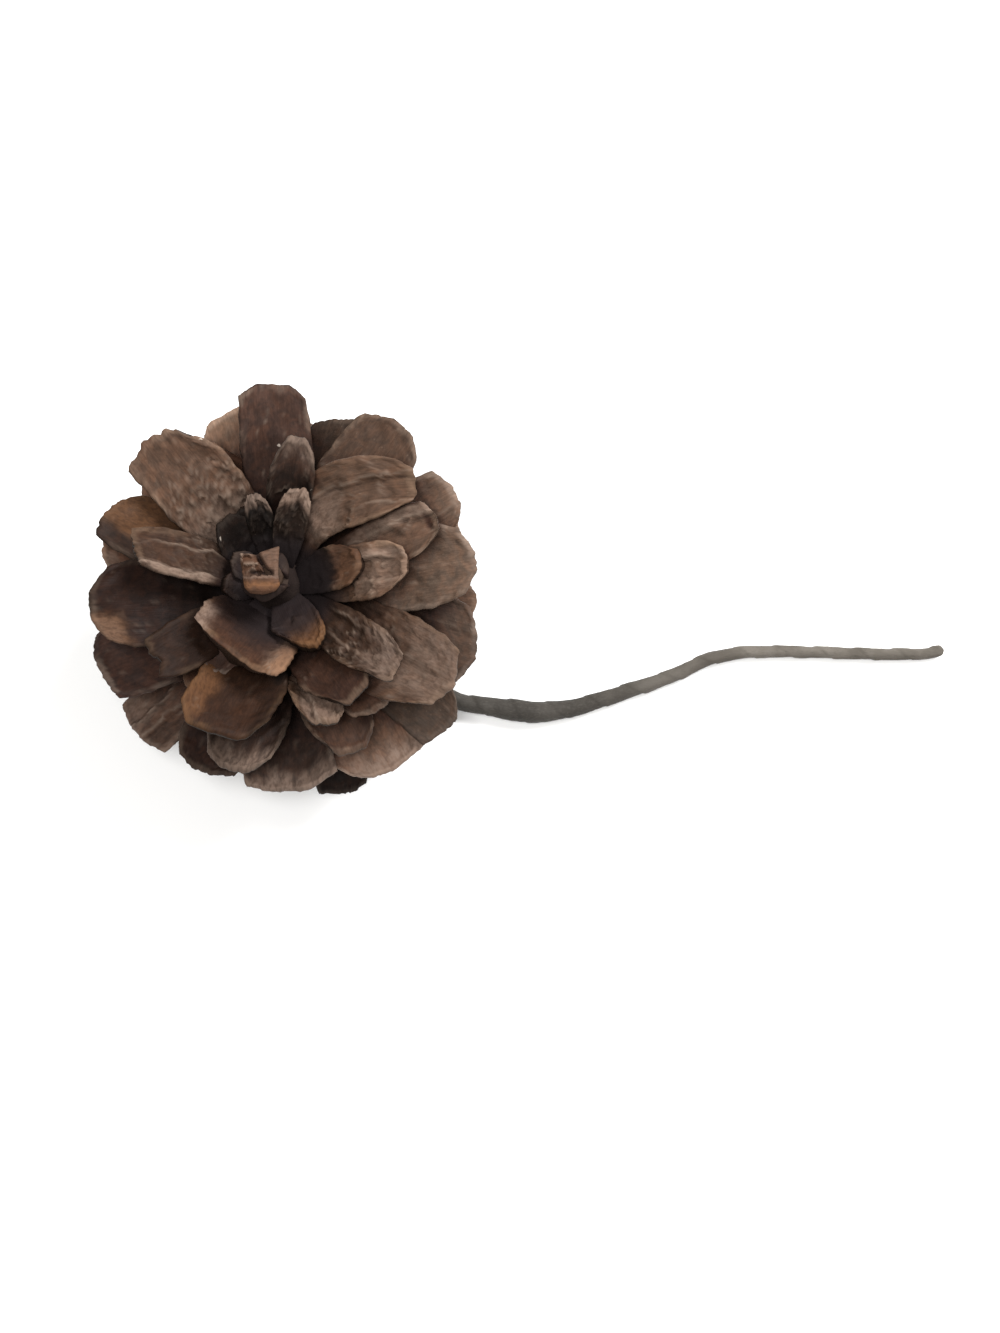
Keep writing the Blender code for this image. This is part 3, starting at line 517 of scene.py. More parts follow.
def facets(points):
    """Heights of small flat faces, tilted at random, at points in mm."""
    heights = []
    for point in points.reshape(-1, 3):
        place = Vector(point)
        centre = noise.voronoi(place)[1][0]
        heights.append(noise.noise_vector(centre * FACET_SPREAD).dot(place - centre))
    return np.array(heights).reshape(points.shape[:-1])


def scale_grid():
    """Places along and across a scale, how far each is round its end, and 1 on its upper face or 0 below."""
    body = np.linspace(0, WIDEST, BODY_STATIONS, endpoint=False)
    angles = np.linspace(0, math.pi / 2 * TIP_END_ANGLE, TIP_STATIONS)
    s = np.concatenate([body, WIDEST + (1 - WIDEST) * np.sin(angles)])[:, None]
    tip = np.concatenate([body * 0, np.sin(angles)])[:, None]
    even = np.linspace(-1, 1, ACROSS_POINTS)
    spread = (even + np.sin(math.pi / 2 * even)) / 2
    v = np.concatenate([spread, spread[-2:0:-1]])[None, :]
    upper = np.concatenate([np.ones(ACROSS_POINTS), np.zeros(ACROSS_POINTS - 2)])[None, :]
    return s, tip, v, upper


def broken_layers(index, draw, s, v, half_width, length):
    """Steps in mm where layers have broken off a scale, and the ledges: above 0 the pale broken edge on top
    of a step, below 0 painted shade under it.
    """
    edges = []
    for place, height in STEPS.get(index, ()):
        bend = 0.16 * waves(draw, s, (0.9, 2.3, 5.1)) + 0.05 * np.abs(waves(draw, s, (7.3, 11.9)))
        edges.append((half_width * (v - place - bend), height))
    for place, height in FLAKES.get(index, ()):
        bend = 0.07 * waves(draw, v, (0.7, 1.9, 3.1)) + 0.03 * np.abs(waves(draw, v, (5.3, 8.9)))
        edges.append((length * (s - place - bend), height))
    steps, ledge = 0 * s * v, 0 * s * v
    width = STEP_WIDTH * half_width
    for beyond, height in edges:
        beyond = beyond * math.copysign(1, height)
        presence = smooth_step(-0.25, 0.45, waves(draw, s + 0.3 * v, (0.6, 1.1)) + 0.45)
        steps = steps + presence * abs(height) * (smooth_step(-width, width, beyond) - 0.5)
        presence = presence * min(abs(height) / FULL_LEDGE, 1.0)
        ledge = ledge + presence * np.exp(-((beyond - LEDGE_PLACE) / LEDGE_WIDTH) ** 2)
        # Under each step the ledge goes below 0: painted shade.
        ledge = ledge + LEDGE_SHADE * presence * np.exp(-((beyond + LEDGE_PLACE) / LEDGE_WIDTH) ** 2)
    shown = smooth_step(*LAYERS_SHOW, s)
    return steps * shown, np.clip(ledge * shown, LEDGE_SHADE, 1)


def scale_surface(index):
    """The fine surface of one scale: its rings of points in mm, and what the material reads at each."""
    habit = scale_habit(index)
    draw = random.Random(index * 31 + 5)
    half_width, length = habit.half_width, habit.length
    s, tip, v, upper = scale_grid()
    size = smooth_step(2.0, 5.0, half_width)
    crumble = CRUMBLED.get(index, 0.0)

    fan = NECK + (1 - NECK) * np.sin(math.pi / 2 * np.minimum(s / WIDEST, 1)) ** SHOULDER
    end_side, end_beyond = soft_end(habit, v)
    chips = waves(draw, v, (1.3, 2.7, 4.9)) + np.abs(waves(draw, v, (3.3, 6.1)))
    end_beyond = end_beyond - CHIP * (np.clip(chips, -0.3, 1.2) - 0.35) * (0.6 + crumble)
    side = half_width * fan * v
    side = side + (end_side - side) * tip**SHOULDER_FALL
    ragged = np.where(v < 0, waves(draw, s, (1.3, 2.9, 5.3, 9.1)), waves(draw, s, (1.7, 3.3, 6.1, 10.3)))
    side = side * (1 + 2.5 * RAGGED * ragged * np.abs(v) ** 3 * smooth_step(0.1, 0.4, s))
    u = s + end_beyond / length * smooth_step(*END_BLEND, s)

    from_edge = np.minimum((1 - s) * length, (1 - np.abs(v)) * half_width)
    rim = 1 - smooth_step(0.45 * RIM_WIDTH, RIM_WIDTH, from_edge + 0.25 * waves(draw, s + v, (2.1, 4.3)))
    rim = rim * smooth_step(0.45, 0.80, s)
    rim_strength = RIMS.get(index, draw.uniform(0.0, 0.9)) * size

    toward_root = 1 - smooth_step(0.0, ROOT_TAPER_END, s)
    plain = BLADE_THICKNESS + (ROOT_THICKNESS - BLADE_THICKNESS) * toward_root
    thin = 1 - FINE_EDGE_THINNING * v * v
    lip = LIP_THICKNESS * smooth_step(LIP_START, LIP_CREST, s) * (1 - smooth_step(LIP_CREST, LIP_END, s))
    lip = lip * (1 - LIP_THINNING * v * v)
    ridge = np.exp(-((s - UMBO_PLACE) / 0.045) ** 2)
    keel = KEEL_HEIGHT * ridge * (1 - v * v)
    umbo = UMBO_HEIGHT * np.exp(-(((s - UMBO_PLACE) * length / 1.1) ** 2) - (side / 1.3) ** 2)
    rounding = np.sqrt(1 - np.abs(v) ** EDGE_ROUNDING) * np.sqrt(1 - tip**TIP_ROUNDING)
    above = (plain / 2 * thin + RIM_HEIGHT * rim * rim_strength) * rounding
    below = ((plain / 2 + lip) * thin + (keel + umbo) * size) * rounding

    steps, ledge = broken_layers(index, draw, s, v, half_width, length)
    grid = np.stack([s * length + 0 * v, side, np.full(side.shape, index * 7.3)], axis=-1)
    if index < BUD_COUNT:
        grid = grid * BUD_GRAIN
    streaks = field(grid * (0.35, 2.6, 1.0), 1.0, 3)
    lumps = field(grid, 0.55, 4, 40.0)
    crumbs = np.abs(field(grid, 1.1, 4, 80.0))
    broken = crumble * smooth_step(0.15, 0.35, s) * (1 - smooth_step(0.62, 0.86, s + 0.12 * lumps))
    if index < FEW_OPEN or index in CRUMBLED_OUT:
        broken = crumble * smooth_step(0.35, 0.7, s)
    rough = GRAIN_DEPTH * streaks + LUMP_DEPTH * lumps * size + broken * (1.3 * crumbs - 0.25)
    faceted = FACET_DEPTHS.get(index, FACET_DEPTH) * smooth_step(0.2, 0.5, s)
    rough = rough + faceted * facets(grid * FACET_SCALE)

    curl = draw.uniform(-1, 1) * CURL_SPREAD * length * smooth_step(0.55, 1.0, s) ** 2
    swell = UNDULATION * waves(draw, u, (0.8, 1.4, 2.3), v) * smooth_step(0.15, 0.6, s)
    centre = CUP * np.abs(side * v) + (curl + swell) * size
    under = below + 0.6 * rough * rounding
    top = np.maximum(above + (steps + rough) * rounding, LEAST_THICKNESS * rounding - under)
    raised = top * upper - under * (1 - upper)
    middle, across, out = blade_frame(habit, u)
    points = lean(middle + across * side[..., None] + out * (centre + raised)[..., None])
    points[..., 2] = np.maximum(points[..., 2], 0)
    sky = seen_sky(points, out * (2 * upper - 1)[..., None], s[:, 0])

    radius = np.hypot(points[..., 0], points[..., 1])
    wear = broken * smooth_step(0.25, 0.6, crumbs) + np.maximum(streaks * 1.5 - 0.8, 0) * upper
    return points, wood_look(
        grid,
        tone_of(index, habit),
        rim=rim,
        deep_shade=shade_depth(index, s, radius),
        upper=upper,
        sky=sky,
        wear=np.clip(wear, 0, 1),
        along=s,
        ledge=ledge * upper,
        patches=painted(index, draw, s, v, lumps) * upper[..., None],
    )


def wood_look(place, tone, rim=0, deep_shade=0, upper=0, sky=0, wear=0, along=0, ledge=0, patches=0):
    """What the wood's material reads at each point: numbers or arrays, one value or more a point."""

    def side_by_side(*values):
        return np.stack([np.broadcast_to(value, place.shape[:-1]) for value in values], axis=-1)

    return {
        "masks": side_by_side(rim, deep_shade, upper, sky),
        "shares": side_by_side(wear, along, ledge, 1),
        "tone": side_by_side(*tone, 1),
        "place": place,
        "patches": np.broadcast_to(patches, place.shape),
    }


def painted(index, draw, s, v, lumps):
    """How pale, orange and dark the patches make each point of a scale."""
    layers = np.zeros((*lumps.shape, len(KINDS)))
    for kind, s_from, s_to, v_from, v_to, strength in PATCHES.get(index, ()):
        at_s = s + 0.05 * waves(draw, v, (1.1, 2.9)) + 0.05 * lumps
        at_v = v + 0.08 * waves(draw, s, (1.3, 3.7)) + 0.10 * lumps
        inside = band(s_from, s_to, PATCH_ALONG, at_s) * band(v_from, v_to, PATCH_ACROSS, at_v)
        layers[..., KINDS.index(kind)] += strength * inside
    return np.clip(layers, 0, 1)


def sky_directions():
    """Directions spread over the half of the sky above a surface whose normal is Z, closest near Z."""
    directions = []
    for k in range(SKY_RAYS):
        high = math.sqrt(1 - (k + 0.5) / SKY_RAYS)
        flat = math.sqrt(1 - high * high)
        turn = GOLDEN_ANGLE * k
        directions.append(Vector((flat * math.cos(turn), flat * math.sin(turn), high)))
    return directions


SKY_DIRECTIONS = sky_directions()


def evenly(first, last, count):
    return np.round(np.linspace(first, last, count)).astype(int)


def seen_sky(points, normals, s):
    """The share of the sky, from 0 to 1, that each point of a scale sees past the rest of the cone."""
    rings, ring_size = points.shape[:2]
    at_rings = np.unique(evenly(0, rings - 1, SKY_RINGS))
    half = (ring_size + 2) // 2
    sides = (1, half - 2), (half + 1, ring_size - 2)
    at_columns = np.concatenate([evenly(first, last, SKY_COLUMNS) for first, last in sides])
    seen = np.empty((len(at_rings), len(at_columns)))
    for i, ring in enumerate(at_rings):
        for j, column in enumerate(at_columns):
            normal = Vector(normals[ring, column]).normalized()
            turn = Vector((0, 0, 1)).rotation_difference(normal)
            start = (Vector(points[ring, column]) + normal * SKY_START) * MM
            rays = [turn @ direction for direction in SKY_DIRECTIONS]
            free = [ray.z >= 0 and not cone_tree.ray_cast(start, ray, SKY_REACH * MM)[0] for ray in rays]
            seen[i, j] = sum(free) / SKY_RAYS
    columns = np.arange(ring_size)
    across = np.array([np.interp(columns, at_columns, row) for row in seen])
    return np.array([np.interp(s, s[at_rings], column) for column in across.T]).T


def shade_depth(index, u, radius):
    """How much painted shade a point gets from lying deep in the cone: 1 at the axis and 0 in the open."""
    if index < BUD_COUNT:
        return np.broadcast_to(1 - 0.35 * smooth_step(0.5, 0.9, u), radius.shape)
    inner, outer = WELL_SMALL if index < FEW_OPEN else WELL_LARGE
    return 1 - smooth_step(inner, outer, radius)


def ring_cap(first, ring_size):
    """Faces that close a ring of points, from one half of it across to the other."""
    half, last = ring_size // 2, first + ring_size
    faces = [(first, first + 1, last - 1), (first + half - 1, first + half, first + half + 1)]
    faces += [(first + i, first + i + 1, last - i - 1, last - i) for i in range(1, half - 1)]
    return faces


def ring_faces(rings, ring_size, first):
    """Faces that join rings of the same size, and close both ends."""
    faces = []
    for r in range(rings - 1):
        low, high = first + r * ring_size, first + (r + 1) * ring_size
        for i in range(ring_size):
            j = (i + 1) % ring_size
            faces.append((low + j, low + i, high + i, high + j))
    last = first + (rings - 1) * ring_size
    return faces + ring_cap(first, ring_size) + [face[::-1] for face in ring_cap(last, ring_size)]


def put_in_scene(name, data):
    """A new object that holds this data."""
    obj = bpy.data.objects.new(name, data)
    bpy.context.scene.collection.objects.link(obj)
    return obj


def new_mesh(name, points, faces, attributes):
    """A smooth mesh object from points in mm, with named attributes of three or four values on its points."""
    mesh = bpy.data.meshes.new(name)
    mesh.from_pydata([tuple(p) for p in np.asarray(points).reshape(-1, 3) * MM], [], faces)
    for label, values in attributes.items():
        values = np.asarray(values, np.float32)
        kind, key = ("FLOAT_COLOR", "color") if values.shape[-1] == 4 else ("FLOAT_VECTOR", "vector")
        mesh.attributes.new(label, kind, "POINT").data.foreach_set(key, values.ravel())
    mesh.validate()
    mesh.shade_smooth()
    return put_in_scene(name, mesh)


# The colours of scales that show: how grey with weathering, how warm towards orange, and how bright. The low
# brightness of the small scales deep round the bud (7, 10, 12, 15, 23) is painted shade.
TONES = {
    0: (0.35, 0.40, 0.46), 1: (0.30, 0.50, 0.46), 2: (0.30, 0.40, 0.38), 3: (0.35, 0.40, 0.42),
    4: (0.30, 0.50, 0.42), 5: (0.60, 0.20, 0.72), 6: (0.25, 0.85, 0.44), 7: (0.20, 0.10, 0.32),
    8: (0.40, 0.45, 0.58), 9: (0.25, 0.00, 0.70), 10: (0.50, 0.10, 0.26), 11: (0.48, 0.60, 0.36),
    12: (0.20, 0.10, 0.32), 13: (0.80, 0.40, 0.84), 14: (0.15, 0.60, 0.56), 15: (0.30, 0.10, 0.44),
    16: (0.75, 0.35, 1.04), 17: (0.15, 0.50, 0.24), 18: (0.35, 0.05, 0.50), 19: (0.15, 0.35, 0.44),
    20: (0.45, 0.45, 0.50), 21: (0.74, 0.20, 0.95), 22: (0.10, 0.80, 0.31), 23: (0.20, 0.10, 0.36),
    24: (0.70, 0.40, 0.62), 25: (0.06, 0.20, 0.28), 26: (0.72, 0.20, 0.70), 27: (0.60, 0.55, 0.52),
    28: (0.66, 0.30, 0.88), 29: (0.90, 0.00, 1.02), 31: (0.22, 0.10, 0.72), 33: (0.36, 0.20, 0.28),
    34: (0.85, 0.05, 0.98), 35: (0.30, 0.20, 0.28), 37: (0.70, 0.00, 0.64), 38: (0.16, 0.00, 0.74),
    39: (0.75, 0.15, 0.38), 40: (0.34, 0.25, 0.62), 41: (0.52, 0.30, 1.30), 43: (0.12, 0.15, 0.38),
    44: (1.00, 0.20, 1.55), 45: (0.85, 0.00, 0.42), 48: (0.35, 0.00, 0.58), 51: (0.45, 0.05, 0.92),
    53: (0.60, 0.15, 1.45), 61: (0.30, 0.00, 0.20),
}
LIT_SIDE = math.radians(25)


def tone_of(index, habit):
    """Grey, warm and bright for one scale. The side turned to LIT_SIDE, where the key lamp stands, is greyer
    and brighter: partly more weathered wood, partly painted light.
    """
    facing = math.cos(habit.azimuth - LIT_SIDE)
    draw = random.Random(index + 900)
    grey = 0.42 + 0.34 * facing + draw.uniform(-0.12, 0.12)
    warm = 0.32 - 0.12 * facing + draw.uniform(-0.15, 0.15)
    bright = 0.84 + 0.10 * facing + draw.uniform(-0.10, 0.10)
    return TONES.get(index, (grey, warm, bright))


def make_scales(name, indices):
    """One piece that holds several scales."""
    made = [scale_surface(index) for index in indices]
    points = np.stack([surface for surface, look in made])
    rings, ring_size = points.shape[1:3]
    faces = []
    for k in range(len(made)):
        faces += ring_faces(rings, ring_size, k * rings * ring_size)
    looks = {label: np.stack([look[label] for surface, look in made]) for label in made[0][1]}
    return new_mesh(name, points, faces, looks)


def bud_edge():
    """Evenly spaced points round the bud's outline, with its corners a little rounded."""
    corners = np.array(BUD_OUTLINE + BUD_OUTLINE[:1])
    at = np.concatenate([[0], np.cumsum(np.linalg.norm(np.diff(corners, axis=0), axis=1))])
    places = np.linspace(0, at[-1], BUD_SPOKES, endpoint=False)
    points = np.stack([np.interp(places, at, corners[:, k]) for k in (0, 1)], axis=-1)
    return (np.roll(points, 1, axis=0) + 2 * points + np.roll(points, -1, axis=0)) / 4


def make_bud():
    """The bud's top: a smooth slanted part at the right, a flaky one at the left and a block in front."""
    edge = bud_edge()
    share = np.concatenate([np.linspace(0.03, 1, BUD_RINGS), np.linspace(1.0, 0.80, BUD_SIDE_RINGS + 1)[1:]])
    drop = np.concatenate([np.zeros(BUD_RINGS), np.linspace(0, BUD_SIDE_DEPTH, BUD_SIDE_RINGS + 1)[1:]])
    share, drop = share[:, None], drop[:, None]
    x, y = share * edge[:, 0], share * edge[:, 1]
    flat = np.stack([x, y, drop + 0 * x], axis=-1)
    lumps = field(flat, 0.9, 4, 11.0)
    broken = facets(flat * 0.9 + 31.0)
    line = y + 0.35 * lumps
    block = 1 - smooth_step(BLOCK_EDGE - 0.12, BLOCK_EDGE + 0.12, line)
    beyond = (x - CLEFT_START[0]) * CLEFT_SIDE[0] + (y - CLEFT_START[1]) * CLEFT_SIDE[1] + 0.10 * lumps
    right = smooth_step(-0.12, 0.12, beyond)
    cleft = np.exp(-(((beyond + 0.1) / CLEFT_WIDTH) ** 2)) * (1 - block)
    gap = np.exp(-(((line - GAP_PLACE) / GAP_WIDTH) ** 2)) * (1 - smooth_step(1.2, 2.0, np.abs(x - 0.2)))
    smooth_part = 0.12 + 0.10 * x + 0.06 * y
    flaky_part = 0.02 + 1.6 * broken
    block_part = 0.45 - 0.07 * (y + 1.0) ** 2 + 0.35 * broken
    height = block * block_part + (1 - block) * (right * smooth_part + (1 - right) * flaky_part)
    height = height - CLEFT_DEPTH * cleft - GAP_DEPTH * gap + 0.08 * lumps - 0.5 * share**8
    height = np.where(drop > 0, height[BUD_RINGS - 1] - drop + 0.10 * lumps, height)
    points = np.stack([x, y, height], axis=-1) + BUD_MIDDLE
    # The cleft and the gap between the bud's parts get painted shade.
    dark = np.clip(cleft + gap, 0, 1)
    # A pale band along the block's top edge: painted highlight.
    block_top_highlight = np.exp(-(((line - BLOCK_EDGE + 0.22) / 0.20) ** 2))
    block_band = np.exp(-(((line + 2.1) / 0.45) ** 2))
    look = wood_look(
        points,
        (0.45, 0.50, 0.85),
        # Painted shade in the cleft and the gap and down the bud's sides, also through the given sky share
        # below.
        deep_shade=0.8 * dark + 0.9 * smooth_step(0.6, 3.4, drop),
        upper=1,
        sky=np.where(drop > 0, 1 - 0.25 * drop, 1 - 0.75 * dark),
        wear=np.clip(4.0 * broken, 0, 1) * (1 - right) * (1 - block),
        along=0.85,
        patches=np.stack([0.45 * block_top_highlight + 0.25 * right * (1 - block), 0.55 * block_band, 0 * x], axis=-1),
    )
    return new_mesh("cone_bud", points, ring_faces(BUD_RINGS + BUD_SIDE_RINGS, BUD_SPOKES, 0), look)


def make_axis():
    """The woody axis and its stalk, with a rough surface."""
    points = []
    for height in np.linspace(0, AXIS_OUTLINE[-1][0], AXIS_RINGS):
        radius = smooth_profile(AXIS_OUTLINE, height)
        for k in range(AXIS_SIDES):
            angle = math.tau * k / AXIS_SIDES
            out = Vector((math.cos(angle), math.sin(angle), 0))
            bump = noise.noise((out * 2.2 + Vector((0, 0, height * 0.7))) * 1.3)
            rough = AXIS_ROUGHNESS * bump * min(height, 1.0)
            points.append(tuple(out * (radius + rough) + Vector((0, 0, height))))
    points = lean(np.array(points))
    height = points[:, 2]
    # The axis is painted darker where it runs hidden among the scales: painted shade.
    deep_shade = 0.85 * smooth_step(3.0, 7.0, height) * (1 - smooth_step(38.5, 41.0, height))
    look = wood_look(points, (0.4, 0.4, 0.9), deep_shade=deep_shade, sky=0.5)
    return new_mesh("cone_axis", points, ring_faces(AXIS_RINGS, AXIS_SIDES, 0), look)


class Material:
    """Adds nodes to a new material and links them by short calls."""

    def __init__(self, name):
        self.material = bpy.data.materials.new(name)
        self.material.use_nodes = True
        self.tree = self.material.node_tree
        self.surface = self.tree.nodes["Principled BSDF"]

    def feed(self, socket, value):
        """Sets a socket to a number or a colour, or links it to a socket or to a node's first output."""
        if isinstance(value, (int, float, tuple)):
            socket.default_value = value
        else:
            output = value.outputs[0] if isinstance(value, bpy.types.Node) else value
            self.tree.links.new(output, socket)

    def add(self, kind, inputs, **settings):
        """A new node with its settings and inputs."""
        node = self.tree.nodes.new(kind)
        for key, value in settings.items():
            setattr(node, key, value)
        for key, value in inputs.items():
            self.feed(node.inputs[key], value)
        return node

    def shade(self, inputs):
        """Feeds the shader's own sockets."""
        for key, value in inputs.items():
            self.feed(self.surface.inputs[key], value)

    def attribute(self, name):
        return self.add("ShaderNodeAttribute", {}, attribute_name=name)

    def split(self, source):
        return self.add("ShaderNodeSeparateColor", {0: source}).outputs

    def math(self, operation, a, b):
        return self.add("ShaderNodeMath", {0: a, 1: b}, operation=operation).outputs[0]

    def times(self, *factors):
        """The product of numbers and sockets."""
        return reduce(lambda a, b: self.math("MULTIPLY", a, b), factors)

    def mix(self, factor, a, b, blend="MIX"):
        inputs = {0: factor, 6: a, 7: b}
        return self.add("ShaderNodeMix", inputs, data_type="RGBA", blend_type=blend).outputs[2]

    def scaled(self, colour, factor):
        """The colour times a number's socket."""
        grey = self.add("ShaderNodeCombineColor", {0: factor, 1: factor, 2: factor})
        return self.mix(1.0, colour, grey.outputs[0], "MULTIPLY")

    def range(self, source, low, high, to_low, to_high):
        """A smooth step of a number, from one value to another."""
        inputs = {0: source, 1: low, 2: high, 3: to_low, 4: to_high}
        return self.add("ShaderNodeMapRange", inputs, interpolation_type="SMOOTHSTEP").outputs[0]

    def noise(self, vector, scale, detail, stretch=(1, 1, 1), distortion=0.0):
        mapping = self.add("ShaderNodeMapping", {0: vector, 3: stretch})
        inputs = {"Vector": mapping, "Scale": scale, "Detail": detail, "Distortion": distortion}
        return self.add("ShaderNodeTexNoise", inputs).outputs[0]

    def bump(self, height, strength, distance):
        return self.add("ShaderNodeBump", {"Height": height, "Strength": strength, "Distance": distance})


def wood_material():
    """Dry cone scales: dark reddish inside, paler and greyer where weathered, light at their rims, with
    painted shade deep in the cone, in the gaps between scales and under broken steps.
    """
    m = Material("cone")
    masks = m.attribute("masks")
    rim, deep_shade, upper = m.split(masks)[:3]
    sky = masks.outputs["Alpha"]
    wear, along, ledge = m.split(m.attribute("shares"))[:3]
    grey, warm, bright = m.split(m.attribute("tone"))[:3]
    place = m.attribute("place").outputs["Vector"]
    blotch = m.noise(place, 0.26, 3)
    cloud = m.noise(place, 0.55, 3, distortion=0.9)
    patch = m.noise(place, 1.6, 4, stretch=(0.7, 1.3, 1.0), distortion=0.5)
    streak = m.noise(place, 1.0, 4, stretch=(0.30, 4.2, 1.0))
    fleck = m.noise(place, 3.4, 3)
    pale_and_highlight_patch, orange_patch, dark_and_shade_patch = m.split(m.attribute("patches").outputs["Vector"])[:3]
    # Weathering greys and pales a scale only as far as it sees the sky, so its hidden parts stay dark: partly
    # less weathered wood, partly painted shade.
    bleach_and_painted_light = m.times(grey, m.range(sky, 0.12, 0.55, 0.25, 1.0))

    grown = m.mix(bleach_and_painted_light, (0.037, 0.0165, 0.0140, 1), (0.128, 0.087, 0.063, 1))
    reddish = m.mix(bleach_and_painted_light, (0.064, 0.0245, 0.0155, 1), (0.137, 0.080, 0.052, 1))
    inner = m.mix(m.range(cloud, 0.32, 0.70, 0.0, 0.75), grown, reddish)
    inner = m.mix(m.times(warm, 0.60), inner, (0.125, 0.050, 0.019, 1))
    outer = m.mix(bleach_and_painted_light, (0.055, 0.027, 0.016, 1), (0.125, 0.086, 0.061, 1))
    colour = m.mix(upper, outer, inner)

    edge = m.mix(warm, (0.225, 0.165, 0.130, 1), (0.255, 0.125, 0.050, 1))
    worn = m.times(rim, m.range(blotch, 0.36, 0.62, 0.0, 0.62), m.range(sky, 0.15, 0.50, 0.2, 1.0))
    colour = m.mix(worn, colour, edge)

    colour = m.scaled(colour, m.times(bright, 0.74))
    for source, *limits in (
        (along, 0.25, 0.85, 0.80, 1.08),
        (streak, 0.30, 0.72, 0.90, 1.09),
        (patch, 0.30, 0.70, 0.86, 1.14),
        (cloud, 0.30, 0.70, 0.86, 1.13),
        # Darker where a point sees little sky: painted shade in the gaps between scales.
        (sky, 0.02, 0.42, 0.62, 1.0),
        # Dark patches: partly darker wood, partly painted shade.
        (dark_and_shade_patch, 0.0, 1.0, 1.0, 0.20),
    ):
        colour = m.scaled(colour, m.range(source, *limits))
    # Pale patches: partly paler bare wood, partly painted highlight along lit edges.
    bare_and_highlight = m.times(pale_and_highlight_patch, m.range(patch, 0.30, 0.65, 0.45, 0.95))
    colour = m.mix(bare_and_highlight, colour, (0.200, 0.140, 0.108, 1))
    rusty = m.times(orange_patch, m.range(patch, 0.30, 0.65, 0.55, 0.95))
    colour = m.mix(rusty, colour, (0.190, 0.086, 0.036, 1))

    open_air = m.math("SUBTRACT", 1.0, deep_shade)
    specks = m.range(fleck, 0.62, 0.76, 0.0, 0.30)
    pale = m.times(specks, bleach_and_painted_light, m.range(patch, 0.45, 0.60, 0.0, 1.0))
    pale = m.math("MAXIMUM", pale, m.times(wear, bright, 0.55))
    pale = m.math("MAXIMUM", pale, m.times(ledge, 0.50))
    # Pale marks fade out in painted shade and where little sky reaches.
    pale = m.times(pale, open_air, m.range(sky, 0.10, 0.40, 0.2, 1.0))
    colour = m.mix(pale, colour, (0.235, 0.175, 0.135, 1))
    # Under broken steps the colour is darkened: painted shade.
    colour = m.scaled(colour, m.range(ledge, LEDGE_SHADE, 0.0, 0.60, 1.0))
    # Points deep in the cone are mixed towards near black: painted shade.
    colour = m.mix(m.times(deep_shade, 0.90), colour, (0.0135, 0.0098, 0.0102, 1))

    cells = m.add("ShaderNodeTexVoronoi", {"Vector": place, "Scale": 0.42})
    chosen = m.range(m.split(cells.outputs["Color"])[0], 0.965, 0.975, 0.0, 1.0)
    ragged = m.math("ADD", cells.outputs["Distance"], m.times(m.math("SUBTRACT", fleck, 0.5), 0.22))
    drop = m.times(m.range(ragged, 0.07, 0.12, 1.0, 0.0), chosen, upper, open_air)
    grain = m.math("ADD", m.times(streak, 0.7), m.times(fleck, 0.30))
    grain = m.math("ADD", grain, m.times(drop, 0.9))
    m.shade({
        "Base Color": m.mix(m.times(drop, 0.55), colour, (0.52, 0.45, 0.38, 1)),
        "Roughness": m.math("SUBTRACT", m.range(blotch, 0.3, 0.7, 0.58, 0.80), m.times(drop, 0.38)),
        "Specular IOR Level": 0.10,
        "Normal": m.bump(grain, 0.42, 0.00022),
    })
    return m.material


def stem_points():
    """The stem's axis as closely spaced points on one smooth curve through its route."""
    route = [Vector(p) * MM for p in STEM_ROUTE]
    padded = [2 * route[0] - route[1], *route, 2 * route[-1] - route[-2]]
    pieces = 12
    points = []
    for a, b, c, d in zip(padded, padded[1:], padded[2:], padded[3:]):
        for k in range(pieces):
            t = k / pieces
            square, cube = 2 * a - 5 * b + 4 * c - d, 3 * b - a - 3 * c + d
            points.append(0.5 * (2 * b + (c - a) * t + square * t**2 + cube * t**3))
    return [*points, route[-1]]


class Route:
    """Distances, points and a steady frame along a line of points."""

    def __init__(self, points):
        self.points = points
        self.at = [0.0]
        for a, b in zip(points, points[1:]):
            self.at.append(self.at[-1] + (b - a).length)
        self.length = self.at[-1]

    def point(self, distance):
        distance = min(max(distance, 0.0), self.length)
        i = next(k for k in range(len(self.at) - 1) if distance <= self.at[k + 1])
        t = (distance - self.at[i]) / (self.at[i + 1] - self.at[i])
        return self.points[i].lerp(self.points[i + 1], t)

    def frame(self, distance):
        """The point there, and two directions square to the line: level, and upward."""
        reach = 0.4 * MM
        along = (self.point(distance + reach) - self.point(distance - reach)).normalized()
        level = along.cross(Vector((0, 0, 1))).normalized()
        return self.point(distance), level, level.cross(along)


def tape_radius(distance, angle):
    """The tape's outer radius, in metres, with the step where each turn of the wrap covers the last."""
    turn = (distance / WRAP_PITCH + angle / math.tau) % 1.0
    step = smooth_step(0.0, WRAP_EDGE_WIDTH, turn) * (1 - turn)
    lump = noise.noise(Vector((distance / MM * 0.35, math.cos(angle), math.sin(angle))))
    crease = noise.noise(Vector((distance / MM * 1.3, 3 * math.cos(angle), 3 * math.sin(angle))))
    plain = smooth_profile(TAPE_RADIUS, distance / MM) * MM
    return plain - WRAP_EDGE / 2 + WRAP_EDGE * step + (0.10 * lump + 0.05 * crease) * MM


